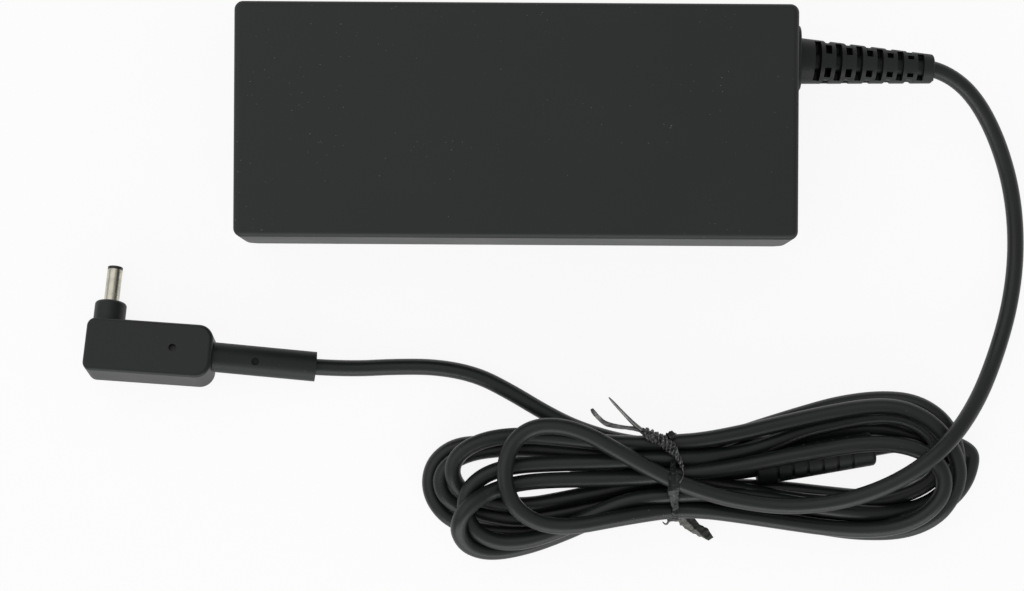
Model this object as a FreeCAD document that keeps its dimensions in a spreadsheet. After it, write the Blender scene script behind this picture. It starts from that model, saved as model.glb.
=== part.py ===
"""Laptop power adapter: a two-shell brick with its board, a DC lead tied in a hank and a right-angle plug.

Millimetres. +X runs along the brick to the DC lead's end, +Y away from the viewer, +Z up.
The origin is the middle of the brick's underside.
"""

import FreeCAD
import Part
import Sketcher
import math
import os
import re

Vector = FreeCAD.Vector
Rotation = FreeCAD.Rotation
Placement = FreeCAD.Placement

# Driving sizes: alias, value and meaning. Lengths in millimetres, angles in degrees.
SIZES = (
    ("case_length", 108.0, "casing length at the parting line"),
    ("case_width", 46.0, "casing width at the parting line"),
    ("case_height", 29.5, "casing height"),
    ("parting_height", 11.5, "height of the joint between the covers"),
    ("case_corner", 2.4, "plan corner radius"),
    ("inner_corner", 1.0, "plan corner radius of the cavity"),
    ("top_draft", 2.6, "draft of the top cover's walls"),
    ("bottom_draft", 0.8, "draft of the bottom cover's walls"),
    ("wall", 2.2, "wall thickness of both covers"),
    ("top_edge", 1.2, "rounding round the top face"),
    ("bottom_edge", 1.5, "rounding round the underside"),
    ("parting_bevel", 0.25, "bevel on each side of the joint"),
    ("lip_height", 1.6, "height of the bottom cover's tongue"),
    ("lip_thickness", 0.9, "thickness of the tongue"),
    ("fit_gap", 0.1, "clearance round pieces that seat in each other"),
    ("rib_thickness", 1.2, "thickness of the top cover's pressing ribs"),
    ("rib_pitch", 26.0, "distance between the pressing ribs"),
    ("board_start", "=case_length / 2 - 13", "board's inlet end, from the middle"),
    ("board_length", "=case_length - 20", "board length"),
    ("board_width", "=case_width - 8", "board width"),
    ("board_thickness", 1.6, "board thickness"),
    ("board_height", 5.5, "underside of the board"),
    ("post_side", 3.4, "side of a board post"),
    ("post_inset", 2.2, "post centre from the board's edge"),
    ("inlet_width", 20.4, "width of the inlet's neck"),
    ("inlet_tall", 16.4, "height of the inlet's neck"),
    ("inlet_corner", 2.5, "corner radius of the inlet"),
    ("inlet_height", "=case_height / 2 + 0.15", "height of the inlet's middle"),
    ("inlet_recess", 0.6, "inlet face behind the end wall"),
    ("inlet_depth", 12.0, "depth of the inlet housing"),
    ("inlet_socket", 10.2, "depth of the socket"),
    ("inlet_rim", 1.2, "rim of the inlet behind the wall"),
    ("inlet_rim_depth", 1.6, "thickness of that rim"),
    ("lobe_radius", 4.9, "radius of each socket lobe"),
    ("lobe_bridge", 3.2, "height of the bridge between the upper lobes"),
    ("pin_spread", 5.0, "line and neutral pins from the middle"),
    ("earth_drop", 5.5, "earth pin below the other two"),
    ("socket_raise", 1.9, "upper pins above the inlet's middle"),
    ("pin_radius", 1.15, "radius of an inlet pin"),
    ("pin_recess", 1.5, "pin tip behind the inlet's face"),
    ("pin_collar", 0.6, "collar that seats on the housing's back"),
    ("pin_tail", 2.4, "pin behind the collar"),
    ("tail_side", 1.0, "side of the tail that goes to the board"),
    ("fuse_length", 8.4, "fuse along X"),
    ("fuse_width", 4.2, "fuse along Y"),
    ("fuse_tall", 7.6, "fuse height"),
    ("disc_radius", 4.4, "radius of the surge and inrush discs"),
    ("disc_thickness", 3.6, "thickness of those discs"),
    ("disc_pitch", 5.4, "distance between the discs"),
    ("lead_radius", 0.4, "radius of a component's legs"),
    ("standoff", 1.2, "legs below a standing component"),
    ("film_cap_length", 12.5, "noise capacitor along X"),
    ("film_cap_width", 7.5, "noise capacitor along Y"),
    ("film_cap_tall", "=case_height - 16.5", "noise capacitor height"),
    ("row_one", "=case_length / 2 - 20.5", "first row of parts, from the middle"),
    ("filter_place", "=case_length / 2 - 33", "choke's middle, from the middle of the brick"),
    ("filter_offset", 7.5, "choke's middle towards the front"),
    ("ring_radius", "=case_height / 2 - 7.75", "outer radius of the choke's ring"),
    ("ring_bore", 3.8, "bore radius of the ring"),
    ("ring_depth", 6.0, "thickness of the ring"),
    ("winding_build", 1.3, "winding thickness on the ring"),
    ("winding_span", 130.0, "angle covered by each winding"),
    ("bridge_length", 14.5, "bridge rectifier along Y"),
    ("bridge_width", 3.6, "bridge rectifier along X"),
    ("bridge_tall", 10.5, "bridge rectifier height"),
    ("bulk_radius", "=case_height / 2 - 6.75", "radius of the bulk capacitor"),
    ("bulk_length", 26.0, "length of the bulk capacitor"),
    ("bulk_place", "=case_length / 2 - 47", "bulk capacitor's axis, from the middle"),
    ("bulk_start", 8.5, "near end of the bulk capacitor, from the middle"),
    ("crimp_depth", 0.6, "crimped groove of a capacitor"),
    ("crimp_width", 1.4, "width of that groove"),
    ("sink_thickness", 1.5, "heatsink plate"),
    ("sink_offset", "=case_width / 2 - 5.4", "outer face of the heatsinks, from the middle"),
    ("sink_tall", "=case_height - 13", "heatsink height above the board"),
    ("sink_lip", 4.0, "heatsink's bent top"),
    ("primary_sink_length", 19.0, "primary heatsink along X"),
    ("secondary_sink_length", 18.0, "secondary heatsink along X"),
    ("package_width", 10.0, "power package along X"),
    ("package_thickness", 4.4, "power package along Y"),
    ("package_tall", "=case_height - 20.5", "power package body height"),
    ("tab_tall", 4.6, "metal tab above the body"),
    ("tab_thickness", 1.3, "thickness of the tab"),
    ("pad_thickness", 0.3, "insulating pad"),
    ("fuse_offset", 14.5, "fuse towards the back"),
    ("disc_offset", 9.5, "first varnished disc towards the back"),
    ("film_cap_shift", 1.2, "noise capacitor from the first row"),
    ("film_cap_offset", 11.5, "noise capacitor towards the front"),
    ("bridge_shift", 1.5, "bridge rectifier from the filter choke"),
    ("bridge_offset", 10.0, "bridge rectifier towards the back"),
    ("opto_offset", 5.0, "optocoupler towards the front"),
    ("chip_offset", 14.0, "controller chip towards the front"),
    ("screw_radius", 1.4, "screw shank"),
    ("screw_head", 2.2, "screw head radius"),
    ("screw_head_tall", 1.8, "screw head height"),
    ("core_length", "=case_length - 85", "transformer core along X"),
    ("core_depth", 13.0, "transformer core along Y"),
    ("core_tall", "=case_height - 12.5", "transformer core height"),
    ("core_leg", 2.8, "outer leg of the core"),
    ("core_window", 3.4, "window of the core"),
    ("core_yoke", 3.6, "yoke at each end of the core"),
    ("core_place", 15.5, "transformer's middle"),
    ("core_raise", 0.8, "core above the board"),
    ("bobbin_wall", 0.7, "bobbin wall"),
    ("winding_reach", 5.0, "winding beyond the core's side"),
    ("tape_thickness", 0.2, "tape round the core"),
    ("tape_width", 7.0, "width of the tape"),
    ("output_cap_radius", 4.0, "radius of an output capacitor"),
    ("output_cap_tall", "=case_height - 15.5", "output capacitor height"),
    ("output_cap_place", "=case_length / 2 - 21", "output capacitors from the middle"),
    ("output_cap_pitch", 8.6, "distance between the output capacitors"),
    ("output_cap_offset", 4.5, "first output capacitor towards the back"),
    ("bobbin_coil_radius", 4.2, "output choke radius"),
    ("bobbin_coil_tall", 9.0, "output choke height"),
    ("output_choke_place", "=case_length / 2 - 11.5", "output choke from the middle"),
    ("output_choke_offset", 0.5, "output choke from the centre line"),
    ("bridging_inset", 3.2, "bridging capacitor before the output capacitors"),
    ("bridging_offset", 11.5, "bridging capacitor towards the front"),
    ("opto_length", 4.6, "optocoupler along X"),
    ("opto_width", 6.4, "optocoupler along Y"),
    ("opto_tall", 3.4, "optocoupler height"),
    ("chip_length", 6.0, "controller chip along X"),
    ("chip_width", 5.0, "controller chip along Y"),
    ("chip_tall", 1.5, "controller chip height"),
    ("spreader_thickness", 0.6, "aluminium heat spreaders"),
    ("spreader_length", "=board_length - 4", "heat spreader length"),
    ("spreader_width", 30.0, "lower heat spreader width"),
    ("upper_spreader_width", "=case_width - 9", "upper heat spreader width"),
    ("spreader_flap", 9.0, "upper spreader's side flaps"),
    ("film_thickness", 0.3, "insulating film"),
    ("cord_diameter", 3.2, "diameter of the lead"),
    ("relief_offset", "=case_width / 2 - 9.4", "strain relief flange from the centre line"),
    ("sleeve_offset", "=relief_offset - 0.3", "strain relief sleeve from the centre line"),
    ("flange_width", 12.8, "relief flange width"),
    ("flange_tall", 11.0, "relief flange height"),
    ("flange_corner", 3.0, "relief flange corner radius"),
    ("flange_thickness", 1.3, "relief flange thickness"),
    ("flange_edge", 0.6, "rounding of the flange's outer edge"),
    ("neck_side", 8.0, "relief neck in the end wall"),
    ("anchor_side", 10.6, "relief anchor plate inside the wall"),
    ("anchor_thickness", 1.6, "thickness of the anchor plate"),
    ("sleeve_base", 4.5, "relief sleeve radius at the flange"),
    ("sleeve_tip", 2.85, "relief sleeve radius at its tip"),
    ("sleeve_length", 26.5, "relief sleeve length"),
    ("sleeve_tip_edge", 0.5, "rounding of the sleeve's tip"),
    ("sleeve_yaw", 2.8, "sleeve's turn towards the front"),
    ("sleeve_droop", 3.0, "sleeve's droop"),
    ("slot_pitch", 4.1, "distance between the wide slots"),
    ("slot_width", 1.25, "width of a slot"),
    ("slot_count", 6, "wide slots"),
    ("first_slot", 3.2, "first slot from the flange"),
    ("web_width", 2.0, "lengthwise webs in the choke sleeve's slits"),
    ("bridge_width_between", 2.7, "web in the slots half-way between"),
    ("slot_rim", 0.45, "outer wall left at the ends of a wide slot"),
    ("notch_rim", 1.05, "outer wall beside the slots half-way between"),
    ("slot_notch", 0.6, "depth of the side notches half-way between"),
    ("core_radius", 1.85, "skin left round the lead"),
    ("hank_turn", 4.0, "hank's turn about the vertical"),
    ("strand_pitch", 3.75, "strand to strand in the lobes"),
    ("waist_pitch", 4.0, "strand to strand at the waist"),
    ("layer_pitch", 3.85, "layer to layer"),
    ("waist_half", 8.0, "outermost strand at the waist"),
    ("left_half", 11.0, "outermost strand in the left lobe"),
    ("right_half", 13.1, "outermost strand in the right lobe"),
    ("floor_gap", 0.05, "lead's clearance from the floor"),
    ("waist_lift", 1.15, "strands raised over the tie"),
    ("hank_start", 8.0, "hank's start before the waist"),
    ("choke_start", 17.0, "choke sleeve from the waist"),
    ("choke_length", 24.0, "choke sleeve length"),
    ("choke_radius", 3.4, "choke sleeve radius"),
    ("choke_bore_gap", 0.25, "choke sleeve's clearance round the lead"),
    ("floor_spread", 2.4, "how much wider the lowest loop lies"),
    ("choke_slits", 6, "slits in the choke sleeve"),
    ("choke_slit_pitch", 3.0, "distance between the slits"),
    ("choke_slit_width", 0.6, "slit width"),
    ("choke_slit_depth", 0.6, "slit depth"),
    ("choke_collar", 4.5, "plain collar of the choke sleeve"),
    ("bead_radius", 2.65, "ferrite bead radius"),
    ("bead_length", 15.0, "ferrite bead length"),
    ("tie_width", 2.4, "width of the tie"),
    ("tie_thickness", 0.9, "thickness of the tie"),
    ("tie_gap", 0.25, "tie's clearance round the strands"),
    ("tie_corner", 3.0, "corner radius of the tie's loop"),
    ("twist_radius", 1.1, "radius of the tie's twist"),
    ("prong_radius", 0.4, "radius of the tie's free ends"),
    ("plug_length", 25.1, "plug body length"),
    ("plug_width", 10.75, "plug body along the barrel"),
    ("plug_thickness", 9.5, "plug body thickness"),
    ("plug_corner", 3.0, "plug corner radius at the lead's end"),
    ("plug_nose", 1.7, "plug corner radius at the barrel's end"),
    ("plug_edge", 0.8, "rounding of the plug's edges"),
    ("plug_roll", 15.5, "plug's roll onto its barrel's tip"),
    ("plug_yaw", 3.7, "plug's turn on the floor"),
    ("collar_radius", 3.15, "collar round the barrel"),
    ("collar_length", 4.3, "length of that collar"),
    ("collar_edge", 0.7, "rounding of the collar's end"),
    ("barrel_inset", 3.5, "barrel axis from the body's end"),
    ("barrel_radius", 1.5, "barrel radius"),
    ("barrel_bore", 1.2, "radius inside the barrel's metal"),
    ("barrel_neck", 1.85, "barrel shoulder radius inside the mould"),
    ("barrel_reach", 7.3, "barrel beyond the collar"),
    ("barrel_root", 5.0, "barrel inside the collar and body"),
    ("tip_ring", 0.6, "insulating ring at the barrel's tip"),
    ("contact_radius", 0.85, "outer radius of the centre contact"),
    ("contact_bore", 0.55, "bore radius of the centre contact"),
    ("mould_gap", 0.03, "clearance between moulded-in pieces"),
    ("tail_sleeve_radius", 2.97, "plug sleeve radius"),
    ("tail_sleeve_length", 20.15, "plug sleeve length"),
    ("tail_sleeve_yaw", 5.4, "plug sleeve's turn on the floor"),
    ("tail_sleeve_droop", 7.7, "plug sleeve's droop"),
    ("dimple_radius", 0.75, "moulding dimples"),
    ("dimple_depth", 0.9, "depth of the dimples"),
    ("plug_dimple_along", "=plug_length * 0.19", "plug's dimple from its middle, along it"),
    ("plug_dimple_side", "=plug_width * 0.02", "plug's dimple from its middle, across it"),
)
NAMES = {alias for alias, value, meaning in SIZES}

document = FreeCAD.newDocument("LaptopPowerAdapter")
sheet = document.addObject("Spreadsheet::Sheet", "Sizes")
for row, (alias, value, meaning) in enumerate(SIZES, 1):
    sheet.set("A%d" % row, meaning)
    sheet.set("B%d" % row, str(value))
    sheet.setAlias("B%d" % row, alias)
document.recompute()
SUB_PARTS = []


def size(alias):
    return float(getattr(sheet, alias))


def formula(text):
    return re.sub(r"[a-z_]+",
                  lambda word: "Sizes." + word.group() if word.group() in NAMES else word.group(), text)


def bind(thing, formulas):
    for name, text in formulas.items():
        thing.setExpression(name, formula(text))


def finished(thing, label):
    thing.Label = label
    SUB_PARTS.append(thing)
    return thing


# Part primitives, placed and sized by formulas
AXES = {"x": Rotation(Vector(0, 1, 0), 90), "y": Rotation(Vector(1, 0, 0), -90), "z": Rotation()}


def place(thing, corner, axis="z"):
    thing.Placement = Placement(Vector(), AXES[axis])
    bind(thing, {"Placement.Base." + side: text for side, text in zip("xyz", corner)})


def block(name, corner, dims):
    thing = document.addObject("Part::Box", name)
    place(thing, corner)
    bind(thing, dict(zip(("Length", "Width", "Height"), dims)))
    return thing


def rod(name, foot, radius, length, axis="z"):
    thing = document.addObject("Part::Cylinder", name)
    place(thing, foot, axis)
    bind(thing, {"Radius": radius, "Height": length})
    return thing


def tube(name, foot, radius, bore, length, axis="z"):
    outer = rod(name + "_outer", foot, radius, length, axis)
    inner = rod(name + "_inner", foot, bore, length, axis)
    return cut(name, outer, inner)


def cut(name, base, tool):
    thing = document.addObject("Part::Cut", name)
    thing.Base = base
    thing.Tool = tool
    return thing


def join(name, pieces):
    thing = document.addObject("Part::MultiFuse", name)
    thing.Shapes = pieces
    return thing


def shaped(name, shape):
    thing = document.addObject("Part::Feature", name)
    thing.Shape = shape
    return thing


# PartDesign features
def body_named(name):
    return document.addObject("PartDesign::Body", name)


def sketch(body, name, role, x="0", y="0", z="0"):
    drawn = body.newObject("Sketcher::SketchObject", name)
    plane = next(feature for feature in body.Origin.OriginFeatures if feature.Role == role)
    drawn.AttachmentSupport = [(plane, "")]
    drawn.MapMode = "FlatFace"
    bind(drawn, {"AttachmentOffset.Base.x": x, "AttachmentOffset.Base.y": y, "AttachmentOffset.Base.z": z})
    return drawn


def limit(drawn, text, kind, *where):
    index = drawn.addConstraint(Sketcher.Constraint(kind, *where))
    drawn.setExpression("Constraints[%d]" % index, formula(text))


def rounded_rectangle(drawn, width, height, radius, nose=None):
    """A rounded rectangle about the sketch's origin; nose is another radius for its left corners."""
    a, b, r = 20.0, 10.0, 2.0
    quarter = math.pi / 2
    corners = ((a - r, r - b, -1), (a - r, b - r, 0), (r - a, b - r, 1), (r - a, r - b, 2))
    sides = (((r - a, -b), (a - r, -b)), ((a, r - b), (a, b - r)), ((a - r, b), (r - a, b)),
             ((-a, b - r), (-a, r - b)))
    lines = [drawn.addGeometry(Part.LineSegment(Vector(*p), Vector(*q)), False) for p, q in sides]
    arcs = []
    for x, y, turn in corners:
        round_ = Part.Circle(Vector(x, y), Vector(0, 0, 1), r)
        arcs.append(drawn.addGeometry(Part.ArcOfCircle(round_, turn * quarter, (turn + 1) * quarter), False))
    for i in range(4):
        drawn.addConstraint(Sketcher.Constraint("Tangent", lines[i], 2, arcs[i], 1))
        drawn.addConstraint(Sketcher.Constraint("Tangent", arcs[i], 2, lines[(i + 1) % 4], 1))
    for i in (0, 2):
        drawn.addConstraint(Sketcher.Constraint("Horizontal", lines[i]))
        drawn.addConstraint(Sketcher.Constraint("Vertical", lines[i + 1]))
    drawn.addConstraint(Sketcher.Constraint("Equal", arcs[0], arcs[1]))
    drawn.addConstraint(Sketcher.Constraint("Equal", arcs[2], arcs[3]))
    limit(drawn, radius, "Radius", arcs[0], r)
    limit(drawn, nose or radius, "Radius", arcs[2], r)
    limit(drawn, width, "DistanceX", lines[3], 1, lines[1], 2, 2 * a)
    limit(drawn, height, "DistanceY", lines[0], 1, lines[2], 2, 2 * b)
    limit(drawn, "(%s) / 2" % width, "DistanceX", -1, 1, lines[1], 1, a)
    limit(drawn, "(%s) / 2" % height, "DistanceY", -1, 1, lines[2], 1, b)


def rectangle(drawn, width, height):
    """A plain rectangle about the sketch's origin."""
    a, b = 20.0, 10.0
    ends = (Vector(-a, -b), Vector(a, -b), Vector(a, b), Vector(-a, b))
    lines = [drawn.addGeometry(Part.LineSegment(ends[i], ends[(i + 1) % 4]), False) for i in range(4)]
    for i in range(4):
        drawn.addConstraint(Sketcher.Constraint("Coincident", lines[i], 2, lines[(i + 1) % 4], 1))
        drawn.addConstraint(Sketcher.Constraint(("Horizontal", "Vertical")[i % 2], lines[i]))
    drawn.addConstraint(Sketcher.Constraint("Symmetric", lines[0], 1, lines[2], 1, -1, 1))
    limit(drawn, width, "DistanceX", lines[0], 1, lines[0], 2, 2 * a)
    limit(drawn, height, "DistanceY", lines[1], 1, lines[1], 2, 2 * b)


def circle(drawn, radius):
    ring = drawn.addGeometry(Part.Circle(Vector(0, 0), Vector(0, 0, 1), 3.0), False)
    drawn.addConstraint(Sketcher.Constraint("Coincident", ring, 3, -1, 1))
    limit(drawn, radius, "Radius", ring, 3.0)


def grow(body, kind, drawn, length, reverse=False, draft=None, both=False):
    """A Pad or Pocket of a sketch."""
    feature = body.newObject("PartDesign::" + kind, drawn.Name + "_" + kind.lower())
    feature.Profile = drawn
    feature.Reversed = reverse
    feature.Midplane = both
    bind(feature, {"Length": length})
    if draft:
        bind(feature, {"TaperAngle": draft})
    drawn.Visibility = False
    document.recompute()
    return feature


def soften(body, kind, name, test, text):
    """A Fillet or Chamfer on the edges of the body's tip that pass the test."""
    base = body.Tip
    edges = ["Edge%d" % (i + 1) for i, edge in enumerate(base.Shape.Edges) if test(edge)]
    feature = body.newObject("PartDesign::" + kind, name)
    feature.Base = (base, edges)
    bind(feature, {"Radius" if kind == "Fillet" else "Size": text})
    document.recompute()
    return feature


RIM_TOLERANCE = 1e-3


def at_height(z):
    return lambda edge: all(abs(vertex.Point.z - z) < 1e-4 for vertex in edge.Vertexes)


def long_rim(edge):
    """The two long outer edges of a cover where the covers meet."""
    half = size("case_width") / 2 - RIM_TOLERANCE
    on_rim = at_height(size("parting_height"))
    return on_rim(edge) and edge.Length > size("case_length") / 2 and abs(edge.CenterOfMass.y) > half


# Casing
END = "case_length / 2"
NOTCH_TOP = "parting_height + neck_side / 2 + fit_gap"
INLET_LOW = "inlet_height - inlet_tall / 2 - fit_gap"
INLET_HIGH = "inlet_height + inlet_tall / 2 + fit_gap"
BOARD_TOP = "board_height + board_thickness"


def wall_notch(body, name, where, width, low, high, y="0"):
    """An opening in an end wall, from inside the cavity out through the wall."""
    drawn = sketch(body, name, "YZ_Plane", y, "(%s + %s) / 2" % (low, high), where)
    rectangle(drawn, width, "%s - (%s)" % (high, low))
    grow(body, "Pocket", drawn, "4 * wall", both=True)


def top_cover():
    body = body_named("top_cover")
    outside = sketch(body, "top_outside", "XY_Plane", z="parting_height")
    rounded_rectangle(outside, "case_length", "case_width", "case_corner")
    grow(body, "Pad", outside, "case_height - parting_height", draft="-top_draft")
    soften(body, "Fillet", "top_edge_round", at_height(size("case_height")), "top_edge")
    inside = sketch(body, "top_inside", "XY_Plane", z="parting_height")
    rounded_rectangle(inside, "case_length - 2 * wall", "case_width - 2 * wall", "inner_corner")
    grow(body, "Pocket", inside, "case_height - parting_height - wall", reverse=True, draft="-top_draft")
    recess = sketch(body, "top_recess", "XY_Plane", z="parting_height")
    reach = " - 2 * (wall - lip_thickness - fit_gap)"
    rounded_rectangle(recess, "case_length" + reach, "case_width" + reach, "inner_corner + lip_thickness")
    grow(body, "Pocket", recess, "lip_height + fit_gap", reverse=True)
    for i in range(3):
        rib = sketch(body, "rib_%d" % i, "YZ_Plane", "0", "case_height - 1.25 * wall",
                     "(%d - 1) * rib_pitch" % i)
        rectangle(rib, "case_width - 3 * wall", "wall / 2 + 2 * fit_gap")
        grow(body, "Pad", rib, "rib_thickness", both=True)
    wall_notch(body, "top_inlet_notch", "-" + END, "inlet_width + 2 * fit_gap", "parting_height", INLET_HIGH)
    wall_notch(body, "top_relief_notch", END, "neck_side + 2 * fit_gap", "parting_height", NOTCH_TOP,
               "relief_offset")
    soften(body, "Chamfer", "top_rim_bevel", long_rim, "parting_bevel")
    finished(body, "top_cover")


def bottom_cover():
    body = body_named("bottom_cover")
    outside = sketch(body, "bottom_outside", "XY_Plane", z="parting_height")
    rounded_rectangle(outside, "case_length", "case_width", "case_corner")
    grow(body, "Pad", outside, "parting_height", reverse=True, draft="-bottom_draft")
    soften(body, "Fillet", "bottom_edge_round", at_height(0.0), "bottom_edge")
    tongue = sketch(body, "tongue", "XY_Plane", z="parting_height")
    reach = " - 2 * (wall - lip_thickness)"
    rounded_rectangle(tongue, "case_length" + reach, "case_width" + reach, "inner_corner + lip_thickness")
    grow(body, "Pad", tongue, "lip_height")
    inside = sketch(body, "bottom_inside", "XY_Plane", z="parting_height + lip_height")
    rounded_rectangle(inside, "case_length - 2 * wall", "case_width - 2 * wall", "inner_corner")
    grow(body, "Pocket", inside, "parting_height + lip_height - wall")
    for i in range(6):
        along = "%s * (board_length / 2 - post_inset) + (board_length / 2 - board_start)" % (-1, 0, 1)[i % 3]
        across = "%s * (board_width / 2 - post_inset / 2)" % (-1, 1)[i // 3]
        post = sketch(body, "post_%d" % i, "XY_Plane", along, across, "wall / 2")
        rectangle(post, "post_side", "post_side / 2")
        grow(body, "Pad", post, "board_height - wall / 2")
    lip_top = "parting_height + lip_height + fit_gap"
    wall_notch(body, "bottom_inlet_notch", "-" + END, "inlet_width + 2 * fit_gap", INLET_LOW, lip_top)
    low = "parting_height - neck_side / 2 - fit_gap"
    wall_notch(body, "bottom_relief_notch", END, "neck_side + 2 * fit_gap", low, lip_top, "relief_offset")
    soften(body, "Chamfer", "bottom_rim_bevel", long_rim, "parting_bevel")
    finished(body, "bottom_cover")


# Mains inlet: a three-lobed socket with its pins
FACE = "-case_length / 2 + inlet_recess"
PIN_ROW = "inlet_height + socket_raise"
PINS = (("line", "pin_spread", PIN_ROW), ("neutral", "-pin_spread", PIN_ROW),
        ("earth", "0", PIN_ROW + " - earth_drop"))


def inlet_housing():
    body = body_named("inlet_housing")
    neck = sketch(body, "inlet_neck", "YZ_Plane", "0", "inlet_height", FACE)
    rounded_rectangle(neck, "inlet_width", "inlet_tall", "inlet_corner")
    grow(body, "Pad", neck, "inlet_depth")
    behind = ("-case_length / 2 + wall + fit_gap"
              " + (inlet_height + inlet_tall / 2 + inlet_rim - parting_height) * tan(top_draft)")
    rim = sketch(body, "inlet_rim", "YZ_Plane", "0", "inlet_height", behind)
    rounded_rectangle(rim, "inlet_width + 2 * inlet_rim", "inlet_tall + 2 * inlet_rim", "inlet_corner")
    grow(body, "Pad", rim, "inlet_rim_depth")
    for name, y, z in PINS:
        lobe = sketch(body, "lobe_" + name, "YZ_Plane", y, z, FACE)
        circle(lobe, "lobe_radius")
        grow(body, "Pocket", lobe, "inlet_socket", reverse=True)
    middle = sketch(body, "lobe_middle", "YZ_Plane", "0", PIN_ROW + " + lobe_bridge / 2 - earth_drop / 2",
                    FACE)
    rectangle(middle, "1.8 * pin_spread", "earth_drop + lobe_bridge")
    grow(body, "Pocket", middle, "inlet_socket", reverse=True)
    for name, y, z in PINS:
        hole = sketch(body, "pin_hole_" + name, "YZ_Plane", y, z, FACE)
        circle(hole, "pin_radius + mould_gap")
        grow(body, "Pocket", hole, "inlet_depth", reverse=True)
    finished(body, "inlet_housing")


def inlet_pins():
    back = FACE + " + inlet_depth"
    for name, y, z in PINS:
        shank = rod("pin_shank_" + name, (FACE + " + pin_recess", y, z), "pin_radius",
                    "inlet_depth - pin_recess + pin_collar", "x")
        tip = document.addObject("Part::Fillet", "pin_tip_" + name)
        tip.Base = shank
        document.recompute()
        front = min(range(len(shank.Shape.Edges)), key=lambda i: shank.Shape.Edges[i].CenterOfMass.x)
        tip.Edges = [(front + 1, size("pin_radius") / 2, size("pin_radius") / 2)]
        collar = rod("pin_collar_" + name, (back, y, z), "1.5 * pin_radius", "pin_collar", "x")
        x = back + " + pin_collar"
        tail = block("pin_tail_" + name, (x, y + " - tail_side / 2", z + " - tail_side / 2"),
                     ("pin_tail", "tail_side", "tail_side"))
        leg = block("pin_leg_" + name, (x + " + pin_tail - tail_side", y + " - tail_side / 2", BOARD_TOP),
                    ("tail_side", "tail_side", z + " - (" + BOARD_TOP + ")"))
        finished(join("inlet_pin_" + name, [tip, collar, tail, leg]), "inlet_pin_" + name)


# Board and mains side
def main_board():
    body = body_named("main_board")
    plan = sketch(body, "board_plan", "XY_Plane", "board_length / 2 - board_start", "0", "board_height")
    rounded_rectangle(plan, "board_length", "board_width", "inner_corner")
    grow(body, "Pad", plan, "board_thickness")
    slot = sketch(body, "board_slot", "XY_Plane", "core_place + core_length / 2", "0", "board_height")
    rounded_rectangle(slot, "board_thickness", "core_depth", "board_thickness / 3")
    grow(body, "Pocket", slot, "board_thickness", reverse=True)
    finished(body, "main_board")


def legs(name, places):
    """Short legs from the board up into a component's underside."""
    return [rod("%s_leg_%d" % (name, i), (x, y, BOARD_TOP), "lead_radius", height)
            for i, (x, y, height) in enumerate(places)]


def box_component(label, centre, dims, rounding="lead_radius", raise_by="0"):
    """A moulded component with softened edges, standing on the board."""
    x, y = centre
    length, width, tall = dims
    body = body_named(label + "_body")
    plan = sketch(body, label + "_plan", "XY_Plane", x, y, "%s + %s" % (BOARD_TOP, raise_by))
    rounded_rectangle(plan, length, width, rounding)
    grow(body, "Pad", plan, tall)
    return body


def mains_filter():
    fuse = box_component("fuse", ("-row_one", "fuse_offset"), ("fuse_length", "fuse_width", "fuse_tall"))
    finished(fuse, "fuse")
    for i, label in enumerate(("surge_absorber", "inrush_thermistor")):
        y = "disc_offset - %d * disc_pitch" % i
        disc = rod(label + "_disc", ("-row_one", y + " - disc_thickness / 2", BOARD_TOP
                                     + " + standoff + disc_radius"),
                   "disc_radius", "disc_thickness", "y")
        sides = [("-row_one - disc_radius / 2", y, "standoff + disc_radius"),
                 ("-row_one + disc_radius / 2", y, "standoff + disc_radius")]
        finished(join(label, [disc] + legs(label, sides)), label)
    film = box_component("noise_capacitor", ("-row_one + film_cap_shift", "-film_cap_offset"),
                         ("film_cap_length", "film_cap_width", "film_cap_tall"))
    finished(film, "noise_capacitor")


def filter_choke():
    middle = BOARD_TOP + " + standoff + ring_radius + winding_build"
    foot = ("-filter_place - ring_depth / 2", "-filter_offset", middle)
    finished(tube("choke_ring", foot, "ring_radius", "ring_bore", "ring_depth", "x"), "choke_core")
    build = "winding_build"
    gap = "fit_gap"
    for i, label in enumerate(("choke_winding_line", "choke_winding_neutral")):
        start = ("-filter_place - ring_depth / 2 - " + build, "-filter_offset", middle)
        outer = tube(label + "_outside", start, "ring_radius + " + build, "ring_bore - " + build,
                     "ring_depth + 2 * " + build, "x")
        hollow = tube(label + "_hollow",
                      ("-filter_place - ring_depth / 2 - " + gap, "-filter_offset", middle),
                      "ring_radius + " + gap, "ring_bore - " + gap, "ring_depth + 2 * " + gap, "x")
        shell = cut(label + "_shell", outer, hollow)
        for side in outer.OutList + hollow.OutList:
            if side.TypeId == "Part::Cylinder":
                bind(side, {"Angle": "winding_span"})
                turn = Rotation(Vector(1, 0, 0), (90, -90)[i] - size("winding_span") / 2)
                side.Placement = Placement(side.Placement.Base, turn.multiply(AXES["x"]))
        sign = (1, -1)[i]
        reach = "-filter_offset + %d * (ring_radius + winding_build / 2)" % sign
        feet = [("-filter_place + %d * ring_depth / 4" % k, reach, "standoff + ring_radius + winding_build")
                for k in (-1, 1)]
        finished(join(label, [shell] + legs(label, feet)), label)


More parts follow.
